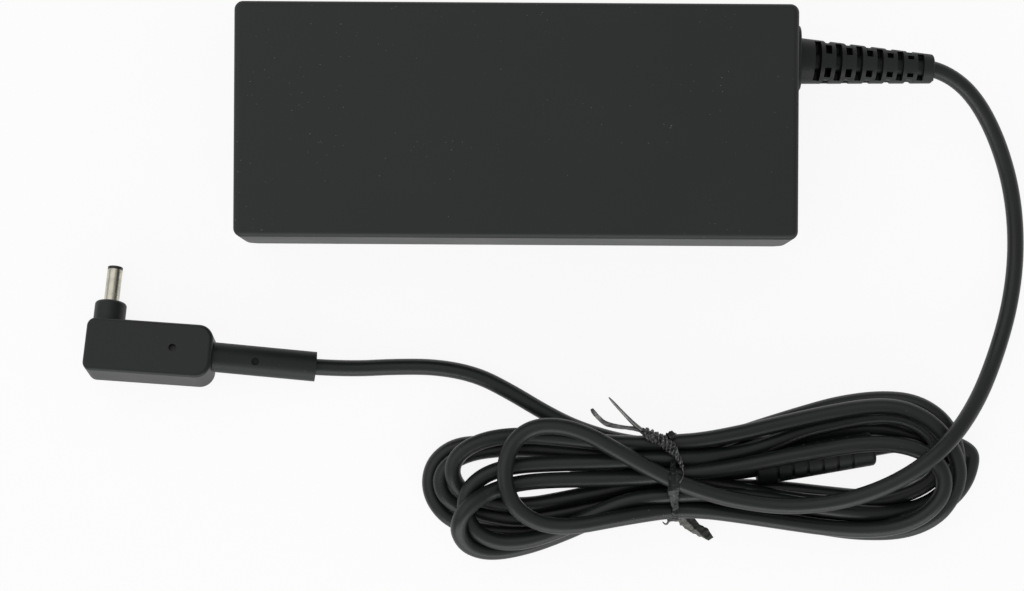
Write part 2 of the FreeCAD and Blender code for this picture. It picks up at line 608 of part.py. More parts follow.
def rectifier_and_bulk():
    bridge = box_component("bridge_rectifier", ("-filter_place + bridge_shift", "bridge_offset"),
                           ("bridge_width", "bridge_length", "bridge_tall"), raise_by="standoff")
    feet = [("-filter_place + bridge_shift", "bridge_offset + %s * bridge_length / 10" % k,
             "standoff + lead_radius") for k in (-4, -1.3, 1.3, 4)]
    finished(join("bridge_with_legs", [bridge] + legs("bridge", feet)), "bridge_rectifier")
    z = BOARD_TOP + " + bulk_radius + fit_gap"
    can = rod("bulk_can", ("-bulk_place", "-bulk_start", z), "bulk_radius", "bulk_length", "y")
    groove = tube("bulk_groove", ("-bulk_place", "-bulk_start + crimp_width * 1.5", z),
                  "bulk_radius + crimp_depth",
                  "bulk_radius - crimp_depth", "crimp_width", "y")
    finished(cut("bulk_grooved", can, groove), "bulk_capacitor")


# Heatsinks with their power packages
def heatsink(label, x, length):
    front = "-sink_offset"
    plate = block(label + "_plate", (x + " - %s / 2" % length, front, BOARD_TOP),
                  (length, "sink_thickness", "sink_tall"))
    lip = block(label + "_lip", (x + " - %s / 2" % length, front, BOARD_TOP
                                 + " + sink_tall - sink_thickness"),
                (length, "sink_lip", "sink_thickness"))
    hole = rod(label + "_hole", (x, front, SCREW_HEIGHT), "screw_radius + mould_gap", "sink_thickness", "y")
    finished(cut(label, join(label + "_bent", [plate, lip]), hole), label)


SCREW_HEIGHT = BOARD_TOP + " + standoff + package_tall + tab_tall / 2"


def power_package(label, x, pad):
    """A package with a screwed metal tab against the heatsink, with or without a pad between."""
    face = "-sink_offset + sink_thickness" + (" + pad_thickness" if pad else "")
    low = BOARD_TOP + " + standoff"
    case = block(label + "_case", (x + " - package_width / 2", face, low),
                 ("package_width", "package_thickness", "package_tall"))
    tab = block(label + "_tab", (x + " - package_width / 2", face, low + " + package_tall"),
                ("package_width", "tab_thickness", "tab_tall"))
    feet = [(x + " + %d * package_width / 4" % k, face + " + package_thickness / 2",
             "standoff + lead_radius") for k in (-1, 0, 1)]
    whole = join(label + "_whole", [case, tab] + legs(label, feet))
    hole = rod(label + "_hole", (x, face, SCREW_HEIGHT), "screw_radius + mould_gap", "tab_thickness", "y")
    finished(cut(label, whole, hole), label)
    if pad:
        sheet_ = block(label + "_pad_sheet",
                       (x + " - package_width / 2 - 1", "-sink_offset + sink_thickness", low),
                       ("package_width + 2", "pad_thickness", "package_tall + tab_tall"))
        pad_hole = rod(label + "_pad_hole", (x, "-sink_offset + sink_thickness", SCREW_HEIGHT),
                       "screw_radius + mould_gap", "pad_thickness", "y")
        finished(cut("insulating_pad", sheet_, pad_hole), "insulating_pad")
    shank = rod(label + "_shank", (x, "-sink_offset", SCREW_HEIGHT), "screw_radius",
                face + " + tab_thickness + sink_offset", "y")
    head = rod(label + "_head", (x, face + " + tab_thickness", SCREW_HEIGHT), "screw_head",
               "screw_head_tall", "y")
    finished(join(label + "_screw", [shank, head]), label + "_screw")


# Transformer: a windowed core, its bobbin, winding and tape
def transformer():
    low = BOARD_TOP + " + core_raise"
    x = "core_place - core_length / 2"
    core = block("core_block", (x, "-core_depth / 2", low), ("core_length", "core_depth", "core_tall"))
    window_x = x + " + core_yoke"
    window = ("core_length - 2 * core_yoke", "core_depth", "core_window")
    lower = block("core_window_low", (window_x, "-core_depth / 2", low + " + core_leg"), window)
    upper = block("core_window_high", (window_x, "-core_depth / 2", low
                                       + " + core_tall - core_leg - core_window"), window)
    finished(cut("transformer_core_cut", core, join("core_windows", [lower, upper])), "transformer_core")
    inner = (window_x + " + fit_gap", "-core_depth / 2 - fit_gap", low
             + " + core_leg + core_window - fit_gap")
    span = "core_length - 2 * core_yoke - 2 * fit_gap"
    post = "core_tall - 2 * core_leg - 2 * core_window + 2 * fit_gap"
    hole = block("bobbin_bore", inner, (span, "core_depth + 2 * fit_gap", post))

    def around(name, wall, x_from, length):
        return block(name, (x_from, "%s - (%s)" % (inner[1], wall), "%s - (%s)" % (inner[2], wall)),
                     (length, "core_depth + 2 * fit_gap + 2 * (%s)" % wall, "%s + 2 * (%s)" % (post, wall)))
    sleeve = around("bobbin_sleeve", "bobbin_wall", inner[0], span)
    cheek = "core_window - 2 * fit_gap"
    first = around("bobbin_cheek_first", cheek, inner[0], "bobbin_wall")
    second = around("bobbin_cheek_second", cheek, inner[0] + " + " + span + " - bobbin_wall", "bobbin_wall")
    feet = []
    for i, (along, across) in enumerate(((0, -1), (0, 1), (1, -1), (1, 1))):
        foot_x = "%s + %d * (%s - bobbin_wall)" % (inner[0], along, span)
        foot_y = "%d * (core_depth / 2 + 1.4) - bobbin_wall" % across
        feet.append(block("bobbin_foot_%d" % i, (foot_x, foot_y, BOARD_TOP),
                          ("bobbin_wall", "2 * bobbin_wall", "core_raise + core_leg + core_window")))
    finished(cut("bobbin_cut", join("bobbin_solid", [sleeve, first, second] + feet), hole),
             "transformer_bobbin")
    coil_x = inner[0] + " + bobbin_wall + fit_gap"
    coil_span = span + " - 2 * bobbin_wall - 2 * fit_gap"
    reach = block("coil_outside", (coil_x, "-core_depth / 2 - winding_reach", inner[2]
                                   + " - (core_window - 4 * fit_gap)"),
                  (coil_span, "core_depth + 2 * winding_reach", post + " + 2 * (core_window - 4 * fit_gap)"))
    softened = document.addObject("Part::Fillet", "coil_softened")
    softened.Base = reach
    document.recompute()
    along_x = [i + 1 for i, edge in enumerate(reach.Shape.Edges)
               if abs(edge.Vertexes[0].Point.x - edge.Vertexes[1].Point.x) > 1]
    softened.Edges = [(i, size("winding_reach") / 2, size("winding_reach") / 2) for i in along_x]
    bore = around("coil_bore", "bobbin_wall + fit_gap", coil_x, coil_span)
    finished(cut("coil_cut", softened, bore), "transformer_winding")
    band = block("tape_outside", (x + " - tape_thickness", "-tape_width / 2", low + " - tape_thickness"),
                 ("core_length + 2 * tape_thickness", "tape_width", "core_tall + 2 * tape_thickness"))
    opening = block("tape_opening", (x, "-tape_width / 2", low), ("core_length", "tape_width", "core_tall"))
    finished(cut("tape_cut", band, opening), "transformer_tape")


# Output side
def output_side():
    for i, label in enumerate(("output_capacitor_first", "output_capacitor_second")):
        foot = ("output_cap_place", "output_cap_offset + %d * output_cap_pitch" % i, BOARD_TOP)
        can = rod(label + "_can", foot, "output_cap_radius", "output_cap_tall")
        ring_foot = (foot[0], foot[1], BOARD_TOP + " + crimp_width")
        groove = tube(label + "_groove", ring_foot, "output_cap_radius + crimp_depth",
                      "output_cap_radius - crimp_depth", "crimp_width")
        finished(cut(label + "_cut", can, groove), label)
    foot = ("output_choke_place", "output_choke_offset", BOARD_TOP)
    drum = [rod("drum_low", foot, "bobbin_coil_radius", "bobbin_coil_tall / 6"),
            rod("drum_core", foot, "bobbin_coil_radius / 2", "bobbin_coil_tall"),
            rod("drum_high", (foot[0], foot[1], BOARD_TOP + " + bobbin_coil_tall * 5 / 6"),
                "bobbin_coil_radius", "bobbin_coil_tall / 6")]
    finished(join("drum", drum), "output_choke_core")
    coil_foot = (foot[0], foot[1], BOARD_TOP + " + bobbin_coil_tall / 6 + fit_gap")
    finished(tube("drum_coil", coil_foot, "bobbin_coil_radius * 0.9", "bobbin_coil_radius / 2 + fit_gap",
                  "bobbin_coil_tall * 2 / 3 - 2 * fit_gap"), "output_choke_winding")
    opto = box_component("optocoupler", ("output_cap_place", "-opto_offset"),
                         ("opto_length", "opto_width", "opto_tall"))
    finished(opto, "optocoupler")
    disc = rod("y_disc", ("output_cap_place - disc_thickness / 2 - bridging_inset", "-bridging_offset",
                          BOARD_TOP + " + standoff + disc_radius * 0.8"),
               "disc_radius * 0.8", "disc_thickness * 0.8", "x")
    feet = [("output_cap_place - disc_thickness * 0.1 - bridging_inset",
             "-bridging_offset + %d * disc_radius / 2" % k, "standoff + disc_radius * 0.8") for k in (-1, 1)]
    finished(join("y_disc_whole", [disc] + legs("y_disc", feet)), "bridging_capacitor")
    chip = block("chip_block", ("core_place - chip_length / 2", "-chip_offset", "board_height - chip_tall"),
                 ("chip_length", "chip_width", "chip_tall"))
    finished(chip, "controller_chip")


def spreaders():
    plate = block("lower_spreader", ("-spreader_length / 2 + 2", "-spreader_width / 2", "wall"),
                  ("spreader_length", "spreader_width", "spreader_thickness"))
    finished(plate, "lower_heat_spreader")
    film = block("film_sheet", ("-spreader_length / 2 + 2", "-spreader_width / 2",
                                "wall + spreader_thickness"),
                 ("spreader_length", "spreader_width", "film_thickness"))
    finished(film, "insulating_film")
    under = "case_height - 1.5 * wall - fit_gap"
    top = block("upper_plate", ("-spreader_length / 2 + 2", "-upper_spreader_width / 2", under
                                + " - spreader_thickness"),
                ("spreader_length", "upper_spreader_width", "spreader_thickness"))
    flaps = [block("upper_flap_%d" % i, ("-spreader_length / 2 + 2", y, under + " - spreader_flap"),
                   ("spreader_length", "spreader_thickness", "spreader_flap"))
             for i, y in enumerate(("-upper_spreader_width / 2",
                                    "upper_spreader_width / 2 - spreader_thickness"))]
    finished(join("upper_spreader", [top] + flaps), "upper_heat_spreader")


# Frames of the slanted pieces
def sleeve_frame():
    droop = Rotation(Vector(0, 1, 0), size("sleeve_droop"))
    turn = Rotation(Vector(0, 0, 1), -size("sleeve_yaw")).multiply(droop)
    base = Vector(size("case_length") / 2 + size("flange_thickness"), size("sleeve_offset"),
                  size("parting_height"))
    return Placement(base, turn)


PLUG_CENTRE = Vector(-72.15, -44.77, 0)


def plug_frame():
    roll = Rotation(Vector(1, 0, 0), -size("plug_roll"))
    turn = Rotation(Vector(0, 0, 1), -size("plug_yaw")).multiply(roll)
    roll = math.radians(size("plug_roll"))
    height = (size("plug_thickness") * math.cos(roll) + size("plug_width") * math.sin(roll)) / 2
    return Placement(PLUG_CENTRE + Vector(0, 0, height), turn)


def tail_frame():
    """Frame of the plug's sleeve: its foot in the plug's end face, its X axis along the lead."""
    foot = plug_frame().multVec(Vector(size("plug_length") / 2, 0, 0))
    droop = Rotation(Vector(0, 1, 0), size("tail_sleeve_droop"))
    turn = Rotation(Vector(0, 0, 1), -size("tail_sleeve_yaw")).multiply(droop)
    return Placement(foot, turn)


# Strain relief: flange, neck and anchor plate in the wall, and the slotted sleeve
def strain_relief():
    body = body_named("relief_anchor")
    flange = sketch(body, "relief_flange", "YZ_Plane", "relief_offset", "parting_height", END)
    rounded_rectangle(flange, "flange_width", "flange_tall", "flange_corner")
    grow(body, "Pad", flange, "flange_thickness")
    outer = size("case_length") / 2 + size("flange_thickness")
    soften(body, "Fillet", "flange_round",
           lambda edge: all(abs(v.Point.x - outer) < 1e-4 for v in edge.Vertexes), "flange_edge")
    neck = sketch(body, "relief_neck", "YZ_Plane", "relief_offset", "parting_height", END)
    rectangle(neck, "neck_side", "neck_side")
    grow(body, "Pad", neck, "wall + 2 * fit_gap + anchor_side / 2 * tan(top_draft)", reverse=True)
    plate = sketch(body, "relief_plate", "YZ_Plane", "relief_offset", "parting_height",
                   END + " - wall - fit_gap - anchor_side / 2 * tan(top_draft)")
    rounded_rectangle(plate, "anchor_side", "anchor_side", "inner_corner")
    grow(body, "Pad", plate, "anchor_thickness", reverse=True)
    base, tip, length = size("sleeve_base"), size("sleeve_tip"), size("sleeve_length")
    root = size("flange_thickness") / 2
    sleeve = Part.makeCone(base, tip, length, Vector(), Vector(1, 0, 0))
    sleeve = sleeve.makeFillet(size("sleeve_tip_edge"), [edge for edge in sleeve.Edges if edge.Closed
                                                         and edge.CenterOfMass.x > length / 2])
    sleeve = sleeve.fuse(Part.makeCylinder(base, root, Vector(-root, 0, 0), Vector(1, 0, 0)))
    core = Part.makeCylinder(size("core_radius"), length, Vector(), Vector(1, 0, 0))
    width, rim = size("slot_width"), size("slot_rim")
    inner = size("bridge_width_between")
    tools = []
    for i in range(2 * int(size("slot_count")) - 1):
        x = size("first_slot") + i * size("slot_pitch") / 2 - width / 2
        radius = base + (tip - base) * (x + width / 2) / length
        near, far = (0, radius - rim) if i % 2 == 0 else (inner / 2, radius - size("notch_rim"))
        for side in (-1, 1):
            for up in (-1, 1):
                low = min(side * near, side * far)
                tools.append(Part.makeBox(width, far - near, base, Vector(x, low, 0 if up > 0 else -base)))
            if i % 2:
                depth = size("slot_notch")
                points = [Vector(x - depth / 2, side * (radius + depth / 2), -base),
                          Vector(x + depth / 4, side * (radius - depth), -base),
                          Vector(x + width - depth / 4, side * (radius - depth), -base),
                          Vector(x + width + depth / 2, side * (radius + depth / 2), -base)]
                notch = Part.Face(Part.makePolygon(points + points[:1]))
                tools.append(notch.extrude(Vector(0, 0, 2 * base)))
    slots = tools[0].multiFuse(tools[1:]).cut(core)
    sleeve = sleeve.cut(slots)
    sleeve.Placement = sleeve_frame()
    slotted = shaped("relief_sleeve", sleeve)
    finished(join("relief", [body, slotted]), "dc_strain_relief")


# Plug
def plug():
    frame = plug_frame()
    body = body_named("plug_mould")
    plan = sketch(body, "plug_plan", "XY_Plane")
    rounded_rectangle(plan, "plug_length", "plug_width", "plug_corner", "plug_nose")
    grow(body, "Pad", plan, "plug_thickness", both=True)
    half = size("plug_thickness") / 2
    soften(body, "Fillet", "plug_edge_round",
           lambda edge: all(abs(abs(v.Point.z) - half) < 1e-4 for v in edge.Vertexes), "plug_edge")
    where = "-plug_length / 2 + barrel_inset"
    reach = "plug_width / 2 + collar_length"
    collar = sketch(body, "plug_collar", "XZ_Plane", where, "0", "-(%s)" % reach)
    circle(collar, "collar_radius")
    grow(body, "Pad", collar, "collar_length + plug_width / 4")
    far = size("plug_width") / 2 + size("collar_length")
    soften(body, "Fillet", "collar_round",
           lambda edge: all(abs(v.Point.y - far) < 1e-4 for v in edge.Vertexes), "collar_edge")
    bore = sketch(body, "plug_bore", "XZ_Plane", where, "0", "-(%s)" % reach)
    circle(bore, "barrel_neck + mould_gap")
    grow(body, "Pocket", bore, "barrel_root", reverse=True)
    dimple = sketch(body, "plug_dimple", "XY_Plane", "plug_dimple_along", "plug_dimple_side",
                    "plug_thickness / 2")
    circle(dimple, "dimple_radius")
    grow(body, "Pocket", dimple, "dimple_depth")
    document.recompute()
    body.Placement = frame
    finished(body, "plug_body")

    axis = Vector(0, 1, 0)
    x = -size("plug_length") / 2 + size("barrel_inset")
    root = Vector(x, far - size("barrel_root"), 0)
    full = size("barrel_root") + size("barrel_reach")
    ring = size("tip_ring")
    gap = size("mould_gap")

    def pipe(radius, bore_radius, start, length):
        outer = Part.makeCylinder(radius, length, root + axis * start, axis)
        return outer.cut(Part.makeCylinder(bore_radius, length, root + axis * start, axis))
    buried = size("barrel_root")
    barrel = pipe(size("barrel_neck"), size("barrel_bore"), 0, buried)
    barrel = barrel.fuse(pipe(size("barrel_radius"), size("barrel_bore"), buried, full - ring - buried))
    insulator = pipe(size("barrel_bore") - gap, size("contact_radius") + gap, 0, full - ring)
    insulator = insulator.fuse(pipe(size("barrel_radius"), size("contact_radius") + gap, full - ring, ring))
    contact = pipe(size("contact_radius"), size("contact_bore"), 0, full - ring / 2)
    contact = contact.fuse(Part.makeCylinder(size("contact_radius"), size("barrel_root") / 2, root, axis))
    for label, shape in (("plug_barrel", barrel), ("plug_insulator", insulator),
                         ("plug_centre_contact", contact)):
        piece = shaped(label + "_shape", shape)
        piece.Placement = frame
        finished(piece, label)

    tail = tail_frame()
    radius, length = size("tail_sleeve_radius"), size("tail_sleeve_length")
    sleeve = Part.makeCylinder(radius, length + radius, Vector(-radius, 0, 0), Vector(1, 0, 0))
    sleeve = sleeve.cut(Part.makeCylinder(size("dimple_radius"), radius,
                                          Vector(0.4 * length, 0, radius - size("dimple_depth"))))
    sleeve.Placement = tail
    sleeve = sleeve.cut(body.Shape)
    keep = max(sleeve.Solids, key=lambda solid: solid.Volume)
    finished(shaped("plug_sleeve_shape", keep), "plug_sleeve")


# Lead: routes, and the tubes along them
def rounded_route(points, label):
    """Straight runs joined by tangent arcs, each as large as its two runs allow."""
    edges = []
    radii = []
    here = points[0]
    for before, corner, after in zip(points, points[1:], points[2:]):
        inward = (corner - before).normalize()
        onward = (after - corner).normalize()
        shorter = min((corner - before).Length, (after - corner).Length)
        reach = 0.45 * shorter
        half = inward.getAngle(onward) / 2
        start = corner - inward * reach
        finish = corner + onward * reach
        radius = reach / math.tan(half)
        radii.append(round(radius, 1))
        to_centre = (onward - inward).normalize()
        middle = corner + to_centre * (radius / math.cos(half) - radius)
        edges.append(Part.LineSegment(here, start).toShape())
        edges.append(Part.Arc(start, middle, finish).toShape())
        here = finish
    edges.append(Part.LineSegment(here, points[-1]).toShape())
    path = Part.Wire(edges)
    print(label, "length", round(path.Length, 1), "bend radii", radii)
    return path


def tube_along(path, radius, label):
    start = path.Edges[0].valueAt(path.Edges[0].FirstParameter)
    aim = path.Edges[0].tangentAt(path.Edges[0].FirstParameter)
    ring = Part.Wire(Part.Circle(start, aim, radius).toShape())
    shell = Part.BRepOffsetAPI.MakePipeShell(path)
    shell.add(ring)
    shell.build()
    shell.makeSolid()
    solid = shell.shape()
    expected = math.pi * radius * radius * path.Length
    print(label, "volume", round(solid.Volume, 1), "against section times length", round(expected, 1))
    return solid


HANK_CENTRE = Vector(31.2, -69.7, 0)
LAYER_LEFT = (-40.0, -35.9, -35.4, -24.0)
LAYER_RIGHT = (47.0, 45.0, 44.0, 41.0)
STRAND_LAYERS = (0, 0, 0, 0.5, 1, 1, 1.5, 2, 2, 2.5, 3, 3, 3)
CHOKE_STRAND = STRAND_LAYERS.index(0.5) - 1
CHOKE_WAIST = 2.2
CHOKE_RUN = (Vector(15.5, 1.05, 0), Vector(43.0, 4.1, 0))
HANK_START_AIM = Vector(1.0, 0.6, 0)
SPREAD_STRAND = 1
# Last strand, over the others: along and across the hank, and above the top layer
LAST_STRAND = (Vector(-24.0, 11.0, 1.4), Vector(-8.5, 4.4, 5.0), Vector(0.0, 0.4, 3.6),
               Vector(26.0, -5.2, 3.2))
LAST_HEADINGS = (Vector(1.0, 0.0, 0.1), Vector(0.86, -0.51, 0.0), Vector(0.92, -0.34, -0.04),
                 Vector(0.99, 0.03, 0.05))
LEAD_OVER_HANK = (Vector(61.8, 13.6, 11.0), Vector(55.8, 5.4, 16.2), Vector(48.2, -1.4, 17.9))


def hank_frame():
    return Placement(HANK_CENTRE, Rotation(Vector(0, 0, 1), size("hank_turn")))


def floor_height():
    return size("cord_diameter") / 2 + size("floor_gap")


def layer_height(layer):
    return floor_height() + layer * size("layer_pitch")


def steps_inward(strand):
    """How many strand pitches a strand lies inside the outermost: it runs in and out at a steady rate."""
    phase = strand % 6
    return min(phase, 6 - phase) / 2


def choke_height():
    return size("choke_radius") + 3 * size("floor_gap")


def choke_run():
    """The straight part of the strand that carries the choke, in the hank's frame."""
    return [along + Vector(0, 0, choke_height()) for along in CHOKE_RUN]


def hank_nodes():
    """Places and headings along the hank in its own frame: right on its far side, left on its near one."""
    nodes = []
    forward = Vector(1, 0, 0)
    for strand, layer in enumerate(STRAND_LAYERS):
        side = 1 if strand % 2 == 0 else -1
        heading = forward * side
        inside = steps_inward(strand)
        climbs = layer % 1 != 0
        entry, leave = int(layer), math.ceil(layer)
        waist = side * (size("waist_half") - inside * size("waist_pitch"))
        left = side * (size("left_half") - inside * size("strand_pitch"))
        right = side * (size("right_half") - inside * size("strand_pitch"))
        right_height = layer_height(entry if side < 0 else leave)
        left_height = layer_height(leave if side < 0 else entry)
        if strand == SPREAD_STRAND:
            left -= size("floor_spread")
        right_along = LAYER_RIGHT[entry if side < 0 else leave]
        if strand in (CHOKE_STRAND, CHOKE_STRAND + 1):
            right_along = CHOKE_RUN[1].x
            right_height = choke_height()
        if strand == CHOKE_STRAND:
            waist = CHOKE_WAIST
        middle = Vector(0, waist, layer_height(layer) + size("waist_lift"))
        right_end = Vector(right_along, right, right_height)
        left_end = Vector(LAYER_LEFT[leave if side < 0 else entry], left, left_height)
        slope = (left_height - right_height) / (left_end.x - right_end.x) if climbs else 0
        across = Vector(1, 0, slope).normalize() * side
        if strand == len(STRAND_LAYERS) - 1:
            top = Vector(0, 0, layer_height(layer))
            for over, aim in zip(LAST_STRAND, LAST_HEADINGS):
                nodes.append((over + top, Vector(aim).normalize()))
        elif side > 0:
            if strand > 0:
                nodes.append((left_end, heading))
            else:
                start = Vector(-size("hank_start"), HANK_START_AIM.y, 0)
                aim = Vector(HANK_START_AIM.x, -HANK_START_AIM.y / 8, 0)
                nodes.append((middle + start, aim.normalize()))
            nodes.append((middle, across))
            if strand == CHOKE_STRAND:
                begin, end = choke_run()
                nodes.append((begin, (end - begin).normalize()))
                nodes.append((end, (end - begin).normalize()))
            else:
                nodes.append((right_end, heading))
        else:
            nodes.append((right_end, heading))
            nodes.append((middle, across))
            nodes.append((left_end, heading))
    with_turns = []
    for (here, heading), (there, next_heading) in zip(nodes, nodes[1:]):
        with_turns.append((here, heading))
        if (heading + next_heading).Length < 0.5:
            radius = abs(here.y - there.y) / 2
            outward = heading
            apex = Vector(here.x, (here.y + there.y) / 2, here.z) + outward * radius
            with_turns.append((apex, Vector(0, there.y - here.y, 0).normalize()))
    with_turns.append(nodes[-1])
    return with_turns


def biarc(start, heading, finish, next_heading):
    """Two tangent arcs, or a straight run, between two places with given headings."""
    chord = finish - start
    if heading.cross(chord).Length < 1e-6 and next_heading.cross(chord).Length < 1e-6:
        return [Part.LineSegment(start, finish).toShape()]
    bend = 2 * (1 - heading.dot(next_heading))
    along = chord.dot(heading + next_heading)
    if bend < 1e-9:
        reach = chord.dot(chord) / (2 * along)
    else:
        reach = (math.sqrt(along * along + bend * chord.dot(chord)) - along) / bend
    first = start + heading * reach
    second = finish - next_heading * reach
    middle = (first + second) * 0.5
    edges = []
    for begin, aim, end in ((start, heading, middle), (middle, (second - first).normalize(), finish)):
        span = end - begin
        sine = aim.cross(span).Length / span.Length
        if sine < 1e-6:
            edges.append(Part.LineSegment(begin, end).toShape())
            continue
        normal = (span - aim * span.dot(aim)).normalize()
        radius = span.Length / (2 * sine)
        centre = begin + normal * radius
        through = centre + ((begin + end) * 0.5 - centre).normalize() * radius
        edges.append(Part.Arc(begin, through, end).toShape())
    return edges


def hank_path():
    frame = hank_frame()
    nodes = [(frame.multVec(place_), frame.Rotation.multVec(aim)) for place_, aim in hank_nodes()]
    edges = []
    for (start, heading), (finish, next_heading) in zip(nodes, nodes[1:]):
        edges.extend(biarc(start, heading, finish, next_heading))
    path = Part.Wire(edges)
    radii = [edge.Curve.Radius for edge in path.Edges if hasattr(edge.Curve, "Radius")]
    points = []
    travelled = []
    distance = 0.0
    for edge in path.Edges:
        steps = max(2, int(edge.Length / 1.0))
        for point in edge.discretize(Number=steps + 1)[:-1]:
            points.append(point)
            travelled.append(distance)
            distance += edge.Length / steps
    least = min((points[i].distanceToPoint(points[k]), i, k) for i in range(len(points))
                for k in range(i + 1, len(points))
                if travelled[k] - travelled[i] > 12)
    print("hank length", round(path.Length, 1), "least gap to itself",
          round(least[0] - size("cord_diameter"), 2),
          "at", [round(v, 1) for v in points[least[1]]], "tightest radius", round(min(radii), 1), "edges",
          len(edges))
    return path


def lead_points():
    """The lead from the relief's tip round the brick's end to the top of the hank."""
    frame = sleeve_frame()
    tip = frame.multVec(Vector(size("sleeve_length"), 0, 0))
    out = frame.Rotation.multVec(Vector(1, 0, 0))
    hank = hank_frame()
    end, heading = hank_nodes()[-1]
    end, heading = hank.multVec(end), hank.Rotation.multVec(heading)
    low = floor_height()
    return [tip, tip + out * 6.6, Vector(94.0, 7.6, 8.6), Vector(98.2, -2.6, 4.6), Vector(100.5, -15.5, low),
            Vector(101.0, -29.0, low), Vector(98.9, -41.6, 5.6),
            *(hank.multVec(over) for over in LEAD_OVER_HANK),
            end + heading * 10.6, end]


def tail_points():
    """The lead from the plug's sleeve along the floor to the hank's start."""
    frame = tail_frame()
    foot = frame.multVec(Vector(size("tail_sleeve_length"), 0, 0))
    out = frame.Rotation.multVec(Vector(1, 0, 0))
    hank = hank_frame()
    start, heading = hank_nodes()[0]
    start, heading = hank.multVec(start), hank.Rotation.multVec(heading)
    low = floor_height()
    return [foot, foot + out * 8.5, Vector(-15.5, -46.9, low), Vector(-3.5, -50.3, low),
            Vector(5.4, -58.3, low),
            start - heading * 9, start]


def lead():
    radius = size("cord_diameter") / 2
    finished(shaped("lead_tube", tube_along(rounded_route(lead_points(), "cord_lead"), radius,
                                            "cord_lead")), "cord_lead")
    finished(shaped("tail_tube", tube_along(rounded_route(tail_points(), "cord_tail"), radius,
                                            "cord_tail")), "cord_tail")
    finished(shaped("hank_tube", tube_along(hank_path(), radius, "cord_hank")), "cord_hank")


# Choke sleeve on one strand of the hank, with its bead
def choke_frame():
    begin, end = choke_run()
    along = (end - begin).normalize()
    start = begin + along * (size("choke_start") - begin.x)
    return hank_frame().multiply(Placement(start, Rotation(Vector(1, 0, 0), along)))


def choke_sleeve():
    axis = Vector(1, 0, 0)
    radius, length = size("choke_radius"), size("choke_length")
    lead_bore = size("cord_diameter") / 2 + size("choke_bore_gap")
    frame = choke_frame()
    outside = Part.makeCylinder(radius, length, Vector(), axis)
    rims = [edge for edge in outside.Edges if edge.Closed
            and abs(edge.CenterOfMass.x - edge.Vertexes[0].Point.x) < 1e-6]
    outside = outside.makeFillet(radius / 4, rims)
    bore = Part.makeCylinder(lead_bore, length, Vector(), axis)
    bead_start = (length - size("bead_length")) / 2
    room = Part.makeCylinder(size("bead_radius") + size("mould_gap"), size("bead_length"),
                             Vector(bead_start, 0, 0), axis)
    sleeve = outside.cut(bore).cut(room)
    for i in range(int(size("choke_slits"))):
        x = length - size("choke_collar") - i * size("choke_slit_pitch") - size("choke_slit_width")
        ring = Part.makeCylinder(radius, size("choke_slit_width"), Vector(x, 0, 0), axis)
        ring = ring.cut(Part.makeCylinder(radius - size("choke_slit_depth"), size("choke_slit_width"),
                                          Vector(x, 0, 0), axis))
        for side in (-1, 1):
            web = Part.makeBox(size("choke_slit_width"), radius, size("web_width"),
                               Vector(x, 0 if side > 0 else -radius, -size("web_width") / 2))
            ring = ring.cut(web)
        sleeve = sleeve.cut(ring)
    sleeve.Placement = frame
    finished(shaped("choke_sleeve_shape", sleeve), "choke_sleeve")
    bead = Part.makeCylinder(size("bead_radius"), size("bead_length"), Vector(bead_start, 0, 0), axis)
    bead = bead.cut(Part.makeCylinder(lead_bore, size("bead_length"), Vector(bead_start, 0, 0), axis))
    bead.Placement = frame
    finished(shaped("bead_shape", bead), "ferrite_bead")


# Tie round the hank's waist
def wire_run(points, radius):
    pieces = []
    for start, finish in zip(points, points[1:]):
        pieces.append(Part.makeCylinder(radius, (finish - start).Length, start, finish - start))
    for point in points[1:-1]:
        pieces.append(Part.makeSphere(radius, point))
    return pieces


def twist_tie():
    radius = size("cord_diameter") / 2 + size("tie_gap")
    thickness, width = size("tie_thickness"), size("tie_width")
    far = size("waist_half") + radius
    near = -(size("waist_half") - size("waist_pitch") / 2) - radius
    low = layer_height(0) + size("waist_lift") - radius
    high = layer_height(STRAND_LAYERS[-1]) + LAST_STRAND[1].z + radius

    def loop(grown, corner):
        y0, y1, z0, z1 = near - grown, far + grown, low - grown, high + grown
        box = Part.makeBox(width, y1 - y0, z1 - z0, Vector(-width / 2, y0, z0))
        long_edges = [edge for edge in box.Edges if abs(edge.Vertexes[0].Point.x
                                                        - edge.Vertexes[1].Point.x) > width / 2]
        return box.makeFillet(corner, long_edges)
    corner = size("tie_corner")
    band = loop(thickness, corner + thickness).cut(loop(0, radius))
    twist = size("twist_radius")
    top = high + twist
    knot = Vector(0, far - 3, top)
    end = Vector(-6.4, far + 0.4, top + 0.6)
    prongs = [[end, Vector(-12.2, far + 6.6, top + 0.4)],
              [end, Vector(-11.6, far + 1.3, top + 0.2), Vector(-16.4, far + 5.0, top)]]
    pieces = wire_run([knot, end], twist)
    for prong in prongs:
        pieces.extend(wire_run(prong, size("prong_radius")))
    side = near - thickness
    pieces.extend(wire_run([Vector(0, side, low + 1.2), Vector(4.4, side - 1.4, low + 1.0),
                            Vector(6.6, side - 4.2, low + 0.6)], thickness))
    tie = band.multiFuse(pieces).removeSplitter()
    tie.Placement = hank_frame()
    finished(shaped("tie_shape", tie), "twist_tie")


